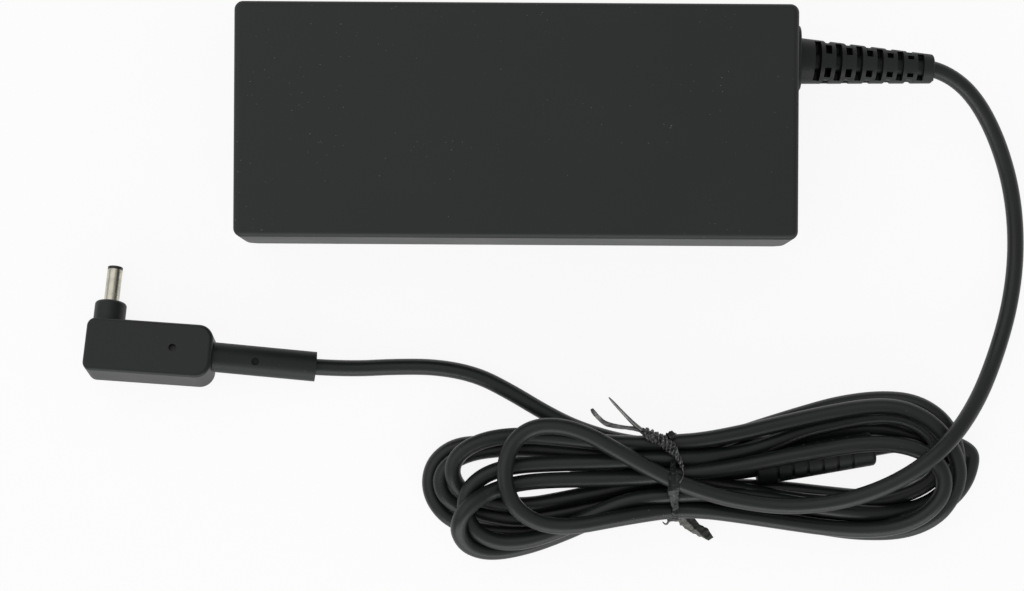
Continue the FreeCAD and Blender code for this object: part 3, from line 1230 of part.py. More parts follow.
# Conductors between the relief and the board
def output_leads():
    radius = size("cord_diameter") / 4
    inner = size("case_length") / 2 - size("wall") - size("fit_gap") - size("anchor_thickness")
    inner -= size("anchor_side") / 2 * math.tan(math.radians(size("top_draft")))
    height = size("parting_height")
    top = size("board_height") + size("board_thickness")
    for i, label in enumerate(("output_lead_positive", "output_lead_negative")):
        y = size("relief_offset") + (-1, 1)[i] * radius * 1.4
        points = [Vector(inner, y, height), Vector(inner - 3.5, y, height),
                  Vector(inner - 5.0, y, top + 2.2), Vector(inner - 5.0, y, top)]
        pieces = wire_run(points, radius)
        finished(shaped(label + "_shape", pieces[0].multiFuse(pieces[1:]).removeSplitter()), label)


def build():
    top_cover()
    bottom_cover()
    inlet_housing()
    inlet_pins()
    main_board()
    mains_filter()
    filter_choke()
    rectifier_and_bulk()
    heatsink("primary_heatsink", "-bulk_place", "primary_sink_length")
    power_package("power_transistor", "-bulk_place", True)
    transformer()
    heatsink("secondary_heatsink", "output_cap_place + 5", "secondary_sink_length")
    power_package("output_rectifier", "output_cap_place + 5", False)
    output_side()
    spreaders()
    output_leads()
    strain_relief()
    lead()
    choke_sleeve()
    twist_tie()
    plug()


def check():
    document.recompute()
    faults = [thing.Name for thing in document.Objects if {"Invalid", "Error"} & set(thing.State)]
    for thing in SUB_PARTS:
        if thing.Shape.isNull() or not thing.Shape.isValid() or not thing.Shape.Solids:
            faults.append(thing.Label)
        if len(thing.Shape.Solids) != 1:
            print(thing.Label, "has", len(thing.Shape.Solids), "solids")
    if faults:
        raise RuntimeError("faulty: " + ", ".join(faults))


def write():
    os.makedirs("parts", exist_ok=True)
    for thing in SUB_PARTS:
        thing.Shape.exportStep("parts/%s.step" % thing.Label)
    print(len(SUB_PARTS), "sub-parts")


build()
check()
write()
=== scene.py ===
import math
import bpy
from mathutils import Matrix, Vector


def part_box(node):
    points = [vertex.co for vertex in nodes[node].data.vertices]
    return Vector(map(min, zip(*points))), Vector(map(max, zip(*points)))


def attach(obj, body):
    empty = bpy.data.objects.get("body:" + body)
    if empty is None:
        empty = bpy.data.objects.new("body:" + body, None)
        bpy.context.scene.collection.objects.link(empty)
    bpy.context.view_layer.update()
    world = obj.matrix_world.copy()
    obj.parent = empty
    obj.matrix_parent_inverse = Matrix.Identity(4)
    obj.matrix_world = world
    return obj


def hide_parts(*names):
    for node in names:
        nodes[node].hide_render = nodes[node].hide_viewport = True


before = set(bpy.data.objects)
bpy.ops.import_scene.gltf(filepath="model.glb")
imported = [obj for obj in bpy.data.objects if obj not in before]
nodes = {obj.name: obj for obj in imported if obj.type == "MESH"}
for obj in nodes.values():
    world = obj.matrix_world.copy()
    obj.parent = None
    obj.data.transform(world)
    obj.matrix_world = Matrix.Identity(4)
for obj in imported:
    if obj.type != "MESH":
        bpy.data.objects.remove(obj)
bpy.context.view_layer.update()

# Camera, overhead; the picture is 1024 by 591
PICTURE_WIDTH = 1024
FOCAL_IN_PIXELS = 2237
SENSOR_WIDTH = 36
CAMERA_PLACE = Vector((-0.0006, -0.033, 0.450))
CAMERA_ROLL = math.radians(0.34)
NEAREST_SEEN = 0.01

# Light and floor; a lamp has its place, its size and its power
KEY_LAMP = ((-0.50, 0.30, 0.80), (1.5, 1.2), 3.6)
FRONT_LAMP = ((0.05, -0.95, 0.32), (1.5, 0.5), 6.5)
LAMPS_AIM = Vector((0.0, -0.03, 0.0))
SKY_LIGHT = 0.45
FLOOR_SIZE = 4
FLOOR_COLOUR = (0.95, 0.95, 0.95)
FLOOR_GLOW = 0.90
WHITE = (1, 1, 1)

# Lead; the swell on its radius makes up for the flat sides of the bevel, and the steps divide its line
# between two control points
LEAD_DIAMETER = 0.0032
LEAD_SWELL = 0.00003
LEAD_STEPS = 7

# Web of rubber inside the strain relief's slots: its middle, from the relief's inner end and beside and
# below the relief's own middle, its size, and how it narrows and leans towards the tip
WEB_FROM_INNER_END = 0.019
WEB_ASIDE = -0.0004
WEB_BELOW = -0.0010
WEB_SIZE = (0.0265, 0.0086, 0.0011)
WEB_TIP_SCALE = (1, 0.60, 0.9)
WEB_TIP_SHIFT = (0, -0.0010, -0.0010)
WEB_BEVEL = 0.0003

# Twist tie: thickness of the film where it is single and in the twist, turns of the twist, tilt of a flat
# strip and of the prong in degrees, and the knob's ball
FILM_THICKNESS = 0.0002
TWIST_THICKNESS = 0.0003
TWIST_TURNS = 3.0
FLAT_TILT = 90.0
PRONG_TILT = 75.0
KNOB_RADIUS = 0.0009
KNOB_SCALE = (1.05, 0.8, 0.9)
# Creases pressed into each piece of the tie: their size and their depth
BAND_CREASES = (0.0016, 0.0006)
TWIST_CREASES = (0.0009, 0.0006)
KNOB_CREASES = (0.0007, 0.0011)
PRONG_CREASES = (0.0018, 0.0002)
TAIL_CREASES = (0.0011, 0.0007)
# Half width that a strip or wire has where its curve's radius is 1, and the steps of its line
FULL_HALF_WIDTH = 0.001
STRIP_STEPS = 8
WIRE_STEPS = 6
SMOOTH_ANGLE = math.radians(50)

# Lead's route, the control points of its line: from the relief, down to the floor and up over the hank
LEAD_LINE = [
    (0.0817, 0.0120, 0.01011), (0.0847, 0.0113, 0.00990), (0.0904, 0.0070, 0.00830),
    (0.0955, -0.0009, 0.00540), (0.0993, -0.0113, 0.00260), (0.1005, -0.0227, 0.00170),
    (0.0993, -0.0339, 0.00200), (0.0959, -0.0447, 0.00390), (0.0910, -0.0540, 0.00900),
    (0.0844, -0.0617, 0.01440), (0.0764, -0.0680, 0.01500), (0.0661, -0.0725, 0.01390),
    (0.0544, -0.0742, 0.01280), (0.0433, -0.0729, 0.01220), (0.0364, -0.0710, 0.01200),
]

# Each strand of the hank and the turn at its end, in the lead's own order
HANK_LINE = [
    # Over the waist, then the topmost left loop
    (0.0309, -0.0690, 0.01190), (0.0256, -0.0663, 0.01220), (0.0197, -0.0630, 0.01240),
    (0.0144, -0.0600, 0.01220), (0.0089, -0.0584, 0.01190), (0.0035, -0.0587, 0.01190),
    (-0.0004, -0.0617, 0.01220), (-0.0019, -0.0661, 0.01290), (-0.0016, -0.0710, 0.01300),
    (0.0008, -0.0753, 0.01240), (0.0057, -0.0780, 0.01190), (0.0120, -0.0782, 0.01160),
    (0.0189, -0.0769, 0.01110), (0.0252, -0.0759, 0.00990),
    # Near strand and the small right loop
    (0.0313, -0.0752, 0.00800), (0.0374, -0.0752, 0.00800), (0.0447, -0.0761, 0.00800),
    (0.0536, -0.0774, 0.00800), (0.0625, -0.0786, 0.00820), (0.0707, -0.0789, 0.00880),
    (0.0772, -0.0777, 0.00980), (0.0819, -0.0748, 0.01080), (0.0846, -0.0708, 0.01130),
    (0.0841, -0.0663, 0.01120), (0.0807, -0.0633, 0.01080), (0.0751, -0.0617, 0.01020),
    # Inner far strand, then the lowest left loop
    (0.0681, -0.0618, 0.00960), (0.0603, -0.0632, 0.00930), (0.0524, -0.0647, 0.00920),
    (0.0445, -0.0664, 0.00910), (0.0373, -0.0676, 0.00900), (0.0311, -0.0681, 0.00895),
    (0.0249, -0.0688, 0.00870), (0.0170, -0.0692, 0.00870), (0.0081, -0.0693, 0.00890),
    (0.0010, -0.0699, 0.00900), (-0.0049, -0.0716, 0.00990), (-0.0088, -0.0741, 0.01210),
    (-0.0108, -0.0771, 0.01160), (-0.0108, -0.0804, 0.00940), (-0.0084, -0.0832, 0.00720),
    (-0.0039, -0.0842, 0.00540), (0.0029, -0.0829, 0.00480),
    # Near strand, and the outer right loop
    (0.0096, -0.0804, 0.00480), (0.0162, -0.0774, 0.00500), (0.0215, -0.0749, 0.00530),
    (0.0267, -0.0733, 0.00550), (0.0314, -0.0724, 0.00580), (0.0376, -0.0732, 0.00530),
    (0.0450, -0.0754, 0.00490), (0.0542, -0.0774, 0.00450), (0.0620, -0.0789, 0.00440),
    (0.0694, -0.0798, 0.00460), (0.0778, -0.0794, 0.00540), (0.0837, -0.0764, 0.00760),
    (0.0869, -0.0719, 0.00830), (0.0880, -0.0677, 0.00840), (0.0871, -0.0638, 0.00850),
    (0.0850, -0.0602, 0.00850), (0.0813, -0.0567, 0.00820), (0.0761, -0.0545, 0.00760),
    # Outermost far strand, then a left loop
    (0.0694, -0.0546, 0.00710), (0.0609, -0.0562, 0.00700), (0.0526, -0.0581, 0.00710),
    (0.0446, -0.0600, 0.00760), (0.0373, -0.0614, 0.00810), (0.0312, -0.0619, 0.00800),
    (0.0249, -0.0622, 0.00810), (0.0180, -0.0620, 0.00780), (0.0100, -0.0612, 0.00760),
    (0.0021, -0.0606, 0.00740), (-0.0042, -0.0611, 0.00770), (-0.0087, -0.0627, 0.00800),
    (-0.0116, -0.0651, 0.00800), (-0.0124, -0.0682, 0.00740), (-0.0110, -0.0713, 0.00600),
    (-0.0079, -0.0733, 0.00520), (-0.0031, -0.0745, 0.00480),
    # Inner near strand, and a right loop
    (0.0026, -0.0748, 0.00500), (0.0092, -0.0736, 0.00500), (0.0171, -0.0719, 0.00500),
    (0.0250, -0.0700, 0.00550), (0.0314, -0.0685, 0.00570), (0.0376, -0.0696, 0.00550),
    (0.0450, -0.0714, 0.00520), (0.0549, -0.0733, 0.00500), (0.0645, -0.0741, 0.00490),
    (0.0725, -0.0735, 0.00500), (0.0789, -0.0718, 0.00550), (0.0836, -0.0689, 0.00590),
    (0.0852, -0.0648, 0.00590), (0.0834, -0.0606, 0.00580), (0.0801, -0.0578, 0.00530),
    # Far strand, then the left loop in the middle
    (0.0752, -0.0564, 0.00460), (0.0693, -0.0569, 0.00410), (0.0629, -0.0583, 0.00420),
    (0.0569, -0.0597, 0.00440), (0.0509, -0.0622, 0.00560), (0.0448, -0.0639, 0.00630),
    (0.0377, -0.0649, 0.00800), (0.0311, -0.0650, 0.00895), (0.0249, -0.0653, 0.00860),
    (0.0170, -0.0658, 0.00830), (0.0081, -0.0661, 0.00820), (0.0008, -0.0665, 0.00840),
    (-0.0047, -0.0678, 0.00860), (-0.0083, -0.0703, 0.00890), (-0.0098, -0.0734, 0.00880),
    (-0.0094, -0.0770, 0.00830), (-0.0072, -0.0801, 0.00810), (-0.0027, -0.0820, 0.00790),
    (0.0032, -0.0815, 0.00780),
    # Near strand, and a right loop
    (0.0102, -0.0789, 0.00790), (0.0163, -0.0759, 0.00810), (0.0231, -0.0731, 0.00840),
    (0.0312, -0.0721, 0.00895), (0.0373, -0.0718, 0.00870), (0.0450, -0.0723, 0.00850),
    (0.0545, -0.0736, 0.00840), (0.0640, -0.0752, 0.00820), (0.0729, -0.0759, 0.00740),
    (0.0808, -0.0748, 0.00530), (0.0862, -0.0713, 0.00490), (0.0885, -0.0660, 0.00500),
    (0.0877, -0.0614, 0.00500), (0.0851, -0.0569, 0.00490), (0.0800, -0.0537, 0.00420),
    # Far strand, then the second left loop from outside
    (0.0736, -0.0531, 0.00230), (0.0653, -0.0542, 0.00170), (0.0573, -0.0565, 0.00170),
    (0.0492, -0.0590, 0.00240), (0.0410, -0.0616, 0.00480), (0.0314, -0.0645, 0.00570),
    (0.0250, -0.0650, 0.00540), (0.0181, -0.0646, 0.00510), (0.0101, -0.0640, 0.00480),
    (0.0032, -0.0634, 0.00485), (-0.0028, -0.0635, 0.00485), (-0.0084, -0.0643, 0.00460),
    (-0.0126, -0.0662, 0.00460), (-0.0148, -0.0692, 0.00450), (-0.0141, -0.0728, 0.00420),
    (-0.0105, -0.0755, 0.00360), (-0.0049, -0.0770, 0.00350),
    # Lowest inner strand to the right
    (0.0013, -0.0778, 0.00370), (0.0092, -0.0765, 0.00360), (0.0172, -0.0747, 0.00300),
    (0.0252, -0.0726, 0.00260), (0.0316, -0.0711, 0.00260), (0.0379, -0.0710, 0.00230),
    (0.0453, -0.0710, 0.00200), (0.0545, -0.0715, 0.00180), (0.0624, -0.0724, 0.00180),
    (0.0709, -0.0732, 0.00190), (0.0775, -0.0728, 0.00210), (0.0822, -0.0704, 0.00260),
    (0.0835, -0.0666, 0.00310), (0.0814, -0.0632, 0.00340),
    # Straight through the choke, then the outermost left loop
    (0.0768, -0.0621, 0.00355), (0.0728, -0.0628, 0.00355), (0.0629, -0.0646, 0.00355),
    (0.0530, -0.0664, 0.00355), (0.0431, -0.0682, 0.00355), (0.0372, -0.0677, 0.00280),
    (0.0316, -0.0664, 0.00260), (0.0252, -0.0672, 0.00230), (0.0172, -0.0674, 0.00190),
    (0.0092, -0.0663, 0.00165), (0.0012, -0.0642, 0.00165), (-0.0058, -0.0626, 0.00165),
    (-0.0118, -0.0631, 0.00165), (-0.0158, -0.0661, 0.00165), (-0.0171, -0.0703, 0.00165),
    (-0.0160, -0.0745, 0.00165), (-0.0127, -0.0781, 0.00165), (-0.0069, -0.0801, 0.00165),
    (0.0005, -0.0806, 0.00165),
    # Lowest near strand, and the outermost right loop
    (0.0085, -0.0797, 0.00165), (0.0173, -0.0779, 0.00170), (0.0253, -0.0759, 0.00210),
    (0.0316, -0.0744, 0.00260), (0.0379, -0.0741, 0.00200), (0.0453, -0.0744, 0.00170),
    (0.0546, -0.0757, 0.00165), (0.0634, -0.0770, 0.00165), (0.0718, -0.0775, 0.00165),
    (0.0798, -0.0767, 0.00165), (0.0869, -0.0742, 0.00165), (0.0905, -0.0700, 0.00165),
    (0.0919, -0.0652, 0.00165), (0.0911, -0.0635, 0.00165), (0.0876, -0.0619, 0.00165),
    (0.0811, -0.0611, 0.00165),
    # Last far strand, on the floor
    (0.0745, -0.0591, 0.00165), (0.0663, -0.0593, 0.00165), (0.0593, -0.0607, 0.00165),
    (0.0529, -0.0620, 0.00165), (0.0469, -0.0630, 0.00165), (0.0397, -0.0631, 0.00175),
    (0.0316, -0.0629, 0.00260), (0.0252, -0.0627, 0.00230), (0.0186, -0.0615, 0.00180),
    (0.0116, -0.0592, 0.00165), (0.0057, -0.0562, 0.00165),
]

# On to the plug's sleeve
TAIL_LINE = [
    (-0.0005, -0.0525, 0.00165), (-0.0073, -0.0490, 0.00165), (-0.0153, -0.0474, 0.00165),
    (-0.0240, -0.0474, 0.00170), (-0.0329, -0.0479, 0.00230), (-0.0398, -0.0475, 0.00331),
]

# Twist tie: for each strip the places along it, its half width there and its tilt in degrees; for each
# wire the places and the half width
# Band round the hank, from over the lead to the floor and up to the knot
TIE_BAND = [
    ((0.03129, -0.06490, 0.01090), 0.00025, 0),
    ((0.03118, -0.06583, 0.01170), 0.00045, 4),
    ((0.03107, -0.06692, 0.01270), 0.00070, 6),
    ((0.03114, -0.06803, 0.01350), 0.00100, 4),
    ((0.03117, -0.06918, 0.01380), 0.00118, 0),
    ((0.03117, -0.07037, 0.01360), 0.00118, -3),
    ((0.03122, -0.07150, 0.01290), 0.00110, -6),
    ((0.03139, -0.07266, 0.01200), 0.00095, -12),
    ((0.03166, -0.07372, 0.01110), 0.00077, -18),
    ((0.03184, -0.07467, 0.01040), 0.00060, -10),
    ((0.03178, -0.07560, 0.00990), 0.00065, 5),
    ((0.03157, -0.07654, 0.00930), 0.00090, 10),
    ((0.03153, -0.07737, 0.00800), 0.00095, 0),
    ((0.03151, -0.07765, 0.00620), 0.00095, 0),
    ((0.03155, -0.07745, 0.00420), 0.00100, 0),
    ((0.03173, -0.07661, 0.00160), 0.00105, 0),
    ((0.03180, -0.07491, 0.00070), 0.00110, 0),
    ((0.03179, -0.07090, 0.00065), 0.00110, 0),
    ((0.03176, -0.06587, 0.00065), 0.00110, 0),
    ((0.03173, -0.06265, 0.00070), 0.00110, 0),
    ((0.03165, -0.06108, 0.00150), 0.00105, 0),
    ((0.03139, -0.06045, 0.00360), 0.00100, 0),
    ((0.03112, -0.06020, 0.00600), 0.00095, 0),
    ((0.03075, -0.06025, 0.00840), 0.00080, 0),
    ((0.03035, -0.06075, 0.00990), 0.00060, 0),
]
# Knob where the band runs into the twist
TIE_KNOB = (0.03075, -0.06035, 0.0103)
# Hook of bare wire at the hank's near edge
TIE_HOOK = [
    ((0.03060, -0.07740, 0.00800), 0.00024),
    ((0.03040, -0.07800, 0.00790), 0.00022),
    ((0.02980, -0.07805, 0.00780), 0.00017),
    ((0.02945, -0.07755, 0.00770), 0.00010),
]
# Crinkled twist
TIE_TWIST = [
    ((0.02505, -0.05932, 0.00970), 0.00064, 0),
    ((0.02606, -0.05985, 0.00990), 0.00110, 0),
    ((0.02708, -0.06041, 0.01030), 0.00125, 0),
    ((0.02820, -0.06092, 0.01060), 0.00122, 0),
    ((0.02912, -0.06139, 0.01075), 0.00125, 0),
    ((0.03000, -0.06203, 0.01085), 0.00129, 0),
    ((0.03083, -0.06279, 0.01090), 0.00115, 0),
    ((0.03150, -0.06357, 0.01095), 0.00084, 0),
    ((0.03207, -0.06449, 0.01120), 0.00060, 0),
    ((0.03254, -0.06540, 0.01130), 0.00052, 0),
    ((0.03300, -0.06644, 0.01120), 0.00038, 0),
]
# Wire out of the twist's end
TIE_END = [
    ((0.03287, -0.06615, 0.01120), 0.00021),
    ((0.03315, -0.06710, 0.01160), 0.00014),
    ((0.03314, -0.06790, 0.01260), 0.00013),
    ((0.03275, -0.06871, 0.01370), 0.00017),
    ((0.03229, -0.06936, 0.01385), 0.00021),
]
# Bent prong
TIE_PRONG = [
    ((0.01505, -0.05500, 0.01380), 0.00029, 20),
    ((0.01538, -0.05560, 0.01350), 0.00046, 20),
    ((0.01653, -0.05690, 0.01270), 0.00044, 10),
    ((0.01746, -0.05771, 0.01210), 0.00048, 0),
    ((0.01866, -0.05827, 0.01160), 0.00048, 0),
    ((0.02035, -0.05862, 0.01100), 0.00044, -10),
    ((0.02215, -0.05884, 0.01050), 0.00040, -10),
    ((0.02394, -0.05907, 0.01010), 0.00048, 0),
    ((0.02553, -0.05956, 0.00990), 0.00057, 30),
]
# Bare prong
TIE_WIRE = [
    ((0.01836, -0.05270, 0.01500), 0.00010),
    ((0.01878, -0.05318, 0.01470), 0.00026),
    ((0.02021, -0.05471, 0.01360), 0.00029),
    ((0.02205, -0.05664, 0.01220), 0.00036),
    ((0.02359, -0.05819, 0.01100), 0.00043),
    ((0.02492, -0.05921, 0.01020), 0.00043),
]
# Torn end
TIE_TAIL = [
    ((0.03237, -0.07612, 0.00650), 0.00059, 0),
    ((0.03301, -0.07706, 0.00460), 0.00084, 0),
    ((0.03400, -0.07768, 0.00340), 0.00100, -8),
    ((0.03509, -0.07823, 0.00280), 0.00150, -12),
    ((0.03598, -0.07893, 0.00250), 0.00130, -6),
    ((0.03687, -0.07972, 0.00220), 0.00114, 0),
    ((0.03779, -0.08000, 0.00200), 0.00136, 8),
    ((0.03865, -0.08075, 0.00180), 0.00111, 14),
    ((0.03955, -0.08158, 0.00150), 0.00078, 20),
]

CASE_BLACK = (0.0105, 0.0132, 0.0125)
PVC_BLACK = (0.0082, 0.0102, 0.0096)
CASE_DUST = (0.30, 0.30, 0.29)
LEAD_DUST = (0.25, 0.25, 0.24)


def deselect():
    for thing in list(bpy.context.selected_objects):
        thing.select_set(False)


def select_only(piece):
    deselect()
    piece.select_set(True)
    bpy.context.view_layer.objects.active = piece


# Materials
class Signal:
    """One output of a node; Python's operators on it add Math nodes."""

    def __init__(self, shading, socket):
        self.shading = shading
        self.socket = socket

    def maths(self, operation, *values):
        return self.shading.node("ShaderNodeMath", {"operation": operation}, dict(enumerate(values)))

    def __add__(self, other):
        return self.maths("ADD", self, other)

    def __radd__(self, other):
        return self.maths("ADD", other, self)

    def __mul__(self, other):
        return self.maths("MULTIPLY", self, other)

    def __rmul__(self, other):
        return self.maths("MULTIPLY", other, self)

    def __lt__(self, other):
        return self.maths("LESS_THAN", self, other)

    def __gt__(self, other):
        return self.maths("GREATER_THAN", self, other)

    def between(self, low, high):
        """0 below low, 1 above high, and smooth from one to the other."""
        sockets = {"Value": self, "From Min": low, "From Max": high}
        return self.shading.node("ShaderNodeMapRange", {"interpolation_type": "SMOOTHSTEP"}, sockets)


class Shading:
    """The node tree of a material or of the world."""

    def __init__(self, tree):
        self.tree = tree

    def node(self, kind, settings=None, sockets=None, output=0):
        """Adds a node with its settings and the values or links of its sockets."""
        made = self.tree.nodes.new(kind)
        for setting, value in (settings or {}).items():
            setattr(made, setting, value)
        for key, value in (sockets or {}).items():
            self.feed(made.inputs[key], value)
        return Signal(self, made.outputs[output])

    def feed(self, socket, value):
        if isinstance(value, Signal):
            self.tree.links.new(value.socket, socket)
        elif socket.type == "RGBA":
            socket.default_value = (*value, 1)
        else:
            socket.default_value = value

    def seen(self, other_ray):
        """1 for rays of the camera and of the other kind, 0 for light on its way to the object."""
        camera_ray = self.node("ShaderNodeLightPath", output="Is Camera Ray")
        return camera_ray.maths("MAXIMUM", camera_ray, self.node("ShaderNodeLightPath", output=other_ray))


class Finish(Shading):
    """A material with one Principled shader, and the nodes that vary it."""

    def __init__(self, name, colour, roughness, metallic=0.0, **constants):
        self.material = bpy.data.materials.new(name)
        self.material.use_nodes = True
        super().__init__(self.material.node_tree)
        self.shader = self.tree.nodes["Principled BSDF"]
        self.set("Base Color", colour)
        self.set("Roughness", roughness)
        self.set("Metallic", metallic)
        for socket, value in constants.items():
            self.set(socket, value)
        self.place = self.node("ShaderNodeTexCoord", output="Object")

    def set(self, socket, value):
        self.feed(self.shader.inputs[socket], value)

    def noise(self, per_metre, detail=3.0, where=None):
        sockets = {"Vector": where or self.place, "Scale": per_metre, "Detail": detail, "Roughness": 0.55}
        return self.node("ShaderNodeTexNoise", {}, sockets)

    def cells(self, per_metre):
        return self.node("ShaderNodeTexVoronoi", {}, {"Vector": self.place, "Scale": per_metre}, "Distance")

    def waves(self, direction, per_metre, distortion):
        sockets = {"Vector": self.place, "Scale": per_metre, "Distortion": distortion}
        return self.node("ShaderNodeTexWave", {"bands_direction": direction}, sockets)

    def coordinate(self, axis):
        return self.node("ShaderNodeSeparateXYZ", {}, {"Vector": self.place}, axis)

    def stretched(self, along, across):
        """Object coordinates drawn out by along on X and by across on Y and Z."""
        sockets = {"Vector": self.place, "Scale": (along, across, across)}
        return self.node("ShaderNodeMapping", {"vector_type": "TEXTURE"}, sockets)

    def blend(self, mask, first, second):
        """The first colour where the mask is 0, the second where it is 1."""
        factor, colour_a, colour_b, colour_result = 0, 6, 7, 2
        sockets = {factor: mask, colour_a: first, colour_b: second}
        return self.node("ShaderNodeMix", {"data_type": "RGBA"}, sockets, colour_result)

    def bumped(self, height, distance, strength):
        sockets = {"Height": height, "Distance": distance, "Strength": strength}
        self.set("Normal", self.node("ShaderNodeBump", {}, sockets))


def shade(colour, by):
    return tuple(min(1.0, level * by) for level in colour)


def moulded(name, colour, roughness, grain=2600, depth=0.00002, dust=0.5, index=1.45):
    """Moulded black plastic: a fine spark-eroded grain, faint cloudiness and specks of dust."""
    finish = Finish(name, colour, roughness, IOR=index)
    cloud = finish.noise(45).between(0.3, 0.7)
    speck_size = finish.noise(300, 1.0) * 0.11
    speck = finish.cells(900) < speck_size
    spread = finish.noise(90, 2.0).between(0.42, 0.6)
    base = finish.blend(cloud, shade(colour, 0.9), shade(colour, 1.12))
    finish.set("Base Color", finish.blend(speck * spread * dust, base, CASE_DUST))
    finish.set("Roughness", cloud * 0.06 + (roughness - 0.03) + finish.noise(grain, 1.0) * 0.05)
    finish.bumped(finish.noise(grain, 2.0), depth, 0.6)
    return finish.material


def metal(name, colour, roughness, lines=900):
    """Plated or drawn metal with faint lines along it and small stains."""
    finish = Finish(name, colour, roughness, 1.0)
    stain = finish.noise(600).between(0.4, 0.7)
    finish.set("Base Color", finish.blend(stain, colour, shade(colour, 0.82)))
    finish.set("Roughness", stain * 0.12 + roughness)
    finish.bumped(finish.noise(lines, 2.0, finish.stretched(20.0, 1.0)), 0.00001, 0.5)
    return finish.material


def plain(name, colour, roughness, drift=0.85, per_metre=250, grain=1800, depth=0.00002):
    """A finish of one colour that drifts a little and has a fine grain."""
    finish = Finish(name, colour, roughness)
    mask = finish.noise(per_metre).between(0.35, 0.65)
    finish.set("Base Color", finish.blend(mask, colour, shade(colour, drift)))
    finish.set("Roughness", mask * 0.08 + (roughness - 0.04))
    finish.bumped(finish.noise(grain, 2.0), depth, 0.5)
    return finish.material


def board_laminate():
    """Brown-green board with the weave of its glass cloth showing through the lacquer."""
    finish = Finish("board_laminate", (0.05, 0.11, 0.04), 0.4)
    cloth = finish.waves("X", 500, 0.4) * finish.waves("Y", 500, 0.4)
    finish.set("Base Color", finish.blend(cloth, (0.035, 0.085, 0.030), (0.075, 0.135, 0.055)))
    finish.bumped(cloth, 0.00002, 0.4)
    return finish.material


def copper_wire():
    """Enamelled wire wound side by side, as bands across the winding's axis, with painted shade between
    turns.
    """
    colour = (0.55, 0.22, 0.09)
    finish = Finish("copper_wire", colour, 0.28, 0.85)
    bands = finish.waves("X", 300, 0.2)
    # Dark part of each band: painted shade in the groove between two turns
    finish.set("Base Color", finish.blend(bands, shade(colour, 0.35), colour))
    finish.bumped(bands, 0.0001, 0.8)
    return finish.material


def lead_jacket():
    """Black PVC of the lead: soft sheen, slow drift, fine grain and a little dust."""
    finish = Finish("lead_jacket", PVC_BLACK, 0.42, IOR=1.44)
    slow = finish.noise(60).between(0.35, 0.65)
    fine = finish.noise(1500, 2.0)
    speck = finish.cells(500) < finish.noise(250, 1.0) * 0.10
    dust = speck * finish.noise(70, 2.0).between(0.5, 0.62)
    base = finish.blend(slow, shade(PVC_BLACK, 0.9), shade(PVC_BLACK, 1.2))
    finish.set("Base Color", finish.blend(dust * 0.4, base, LEAD_DUST))
    finish.set("Roughness", slow * 0.08 + fine * 0.08 + 0.34)
    finish.bumped(fine, 0.00002, 0.35)
    return finish.material


def tie_film():
    """Thin glossy dark film, drawn along its length and crinkled, with painted highlights and glints."""
    finish = Finish("tie_film", (0.02, 0.022, 0.021), 0.3, IOR=1.33)
    drawn = finish.noise(1600, 2.0, finish.stretched(1.0, 9.0))
    folds = finish.noise(900)
    # Lighter streaks along the film: painted highlight
    base = finish.blend(drawn.between(0.35, 0.7), (0.005, 0.006, 0.006), (0.024, 0.027, 0.026))
    # Pale patches on the folds: painted glints
    finish.set("Base Color", finish.blend(folds.between(0.68, 0.78), base, (0.16, 0.16, 0.155)))
    finish.set("Roughness", drawn * 0.2 + 0.14)
    finish.bumped(drawn + folds, 0.00008, 0.5)
    return finish.material


def tie_crinkle():
    """The same film where it is twisted and creased, with painted light, shade and glints on its facets."""
    finish = Finish("tie_crinkle", (0.12, 0.125, 0.125), 0.3, IOR=1.5)
    creases = finish.cells(1500)
    fine = finish.noise(2600)
    # Dark and grey facets: painted shade and light on the creases
    base = finish.blend(creases.between(0.2, 0.75), (0.025, 0.030, 0.028), (0.13, 0.135, 0.13))
    # Pale specks: painted glints
    finish.set("Base Color", finish.blend(fine.between(0.6, 0.7), base, (0.45, 0.45, 0.43)))
    finish.set("Roughness", fine * 0.3 + 0.15)
    finish.bumped(creases + fine, 0.00018, 0.8)
    return finish.material


def tie_torn():
    """Torn end: pale backing along its near edge, dark film over the rest."""
    finish = Finish("tie_torn", (0.3, 0.3, 0.29), 0.35, IOR=1.36)
    ragged = finish.noise(900)
    from_near_edge = finish.coordinate("Y") + finish.coordinate("X") + ragged * 0.0011
    dark = from_near_edge.between(-0.0428, -0.0424)
    finish.set("Base Color", finish.blend(dark, (0.15, 0.15, 0.14), (0.006, 0.008, 0.005)))
    finish.set("Roughness", ragged * 0.2 + 0.5)
    finish.bumped(finish.noise(1400), 0.00008, 0.5)
    return finish.material


def tie_backing():
    """Flat pale strip of the prong, with painted sheen streaked along it, and dark at its cut end."""
    finish = Finish("tie_backing", (0.42, 0.42, 0.41), 0.32, IOR=1.5)
    shine = finish.noise(1600, 2.0, finish.stretched(9.0, 1.0))
    cut_end = finish.coordinate("X") < 0.0157
    # Lighter streaks along the strip: painted sheen
    base = finish.blend(shine.between(0.38, 0.66), (0.06, 0.063, 0.062), (0.20, 0.20, 0.195))
    finish.set("Base Color", finish.blend(cut_end, base, (0.03, 0.03, 0.03)))
    finish.set("Roughness", shine * 0.25 + 0.18)
    finish.bumped(shine, 0.0001, 0.6)
    return finish.material


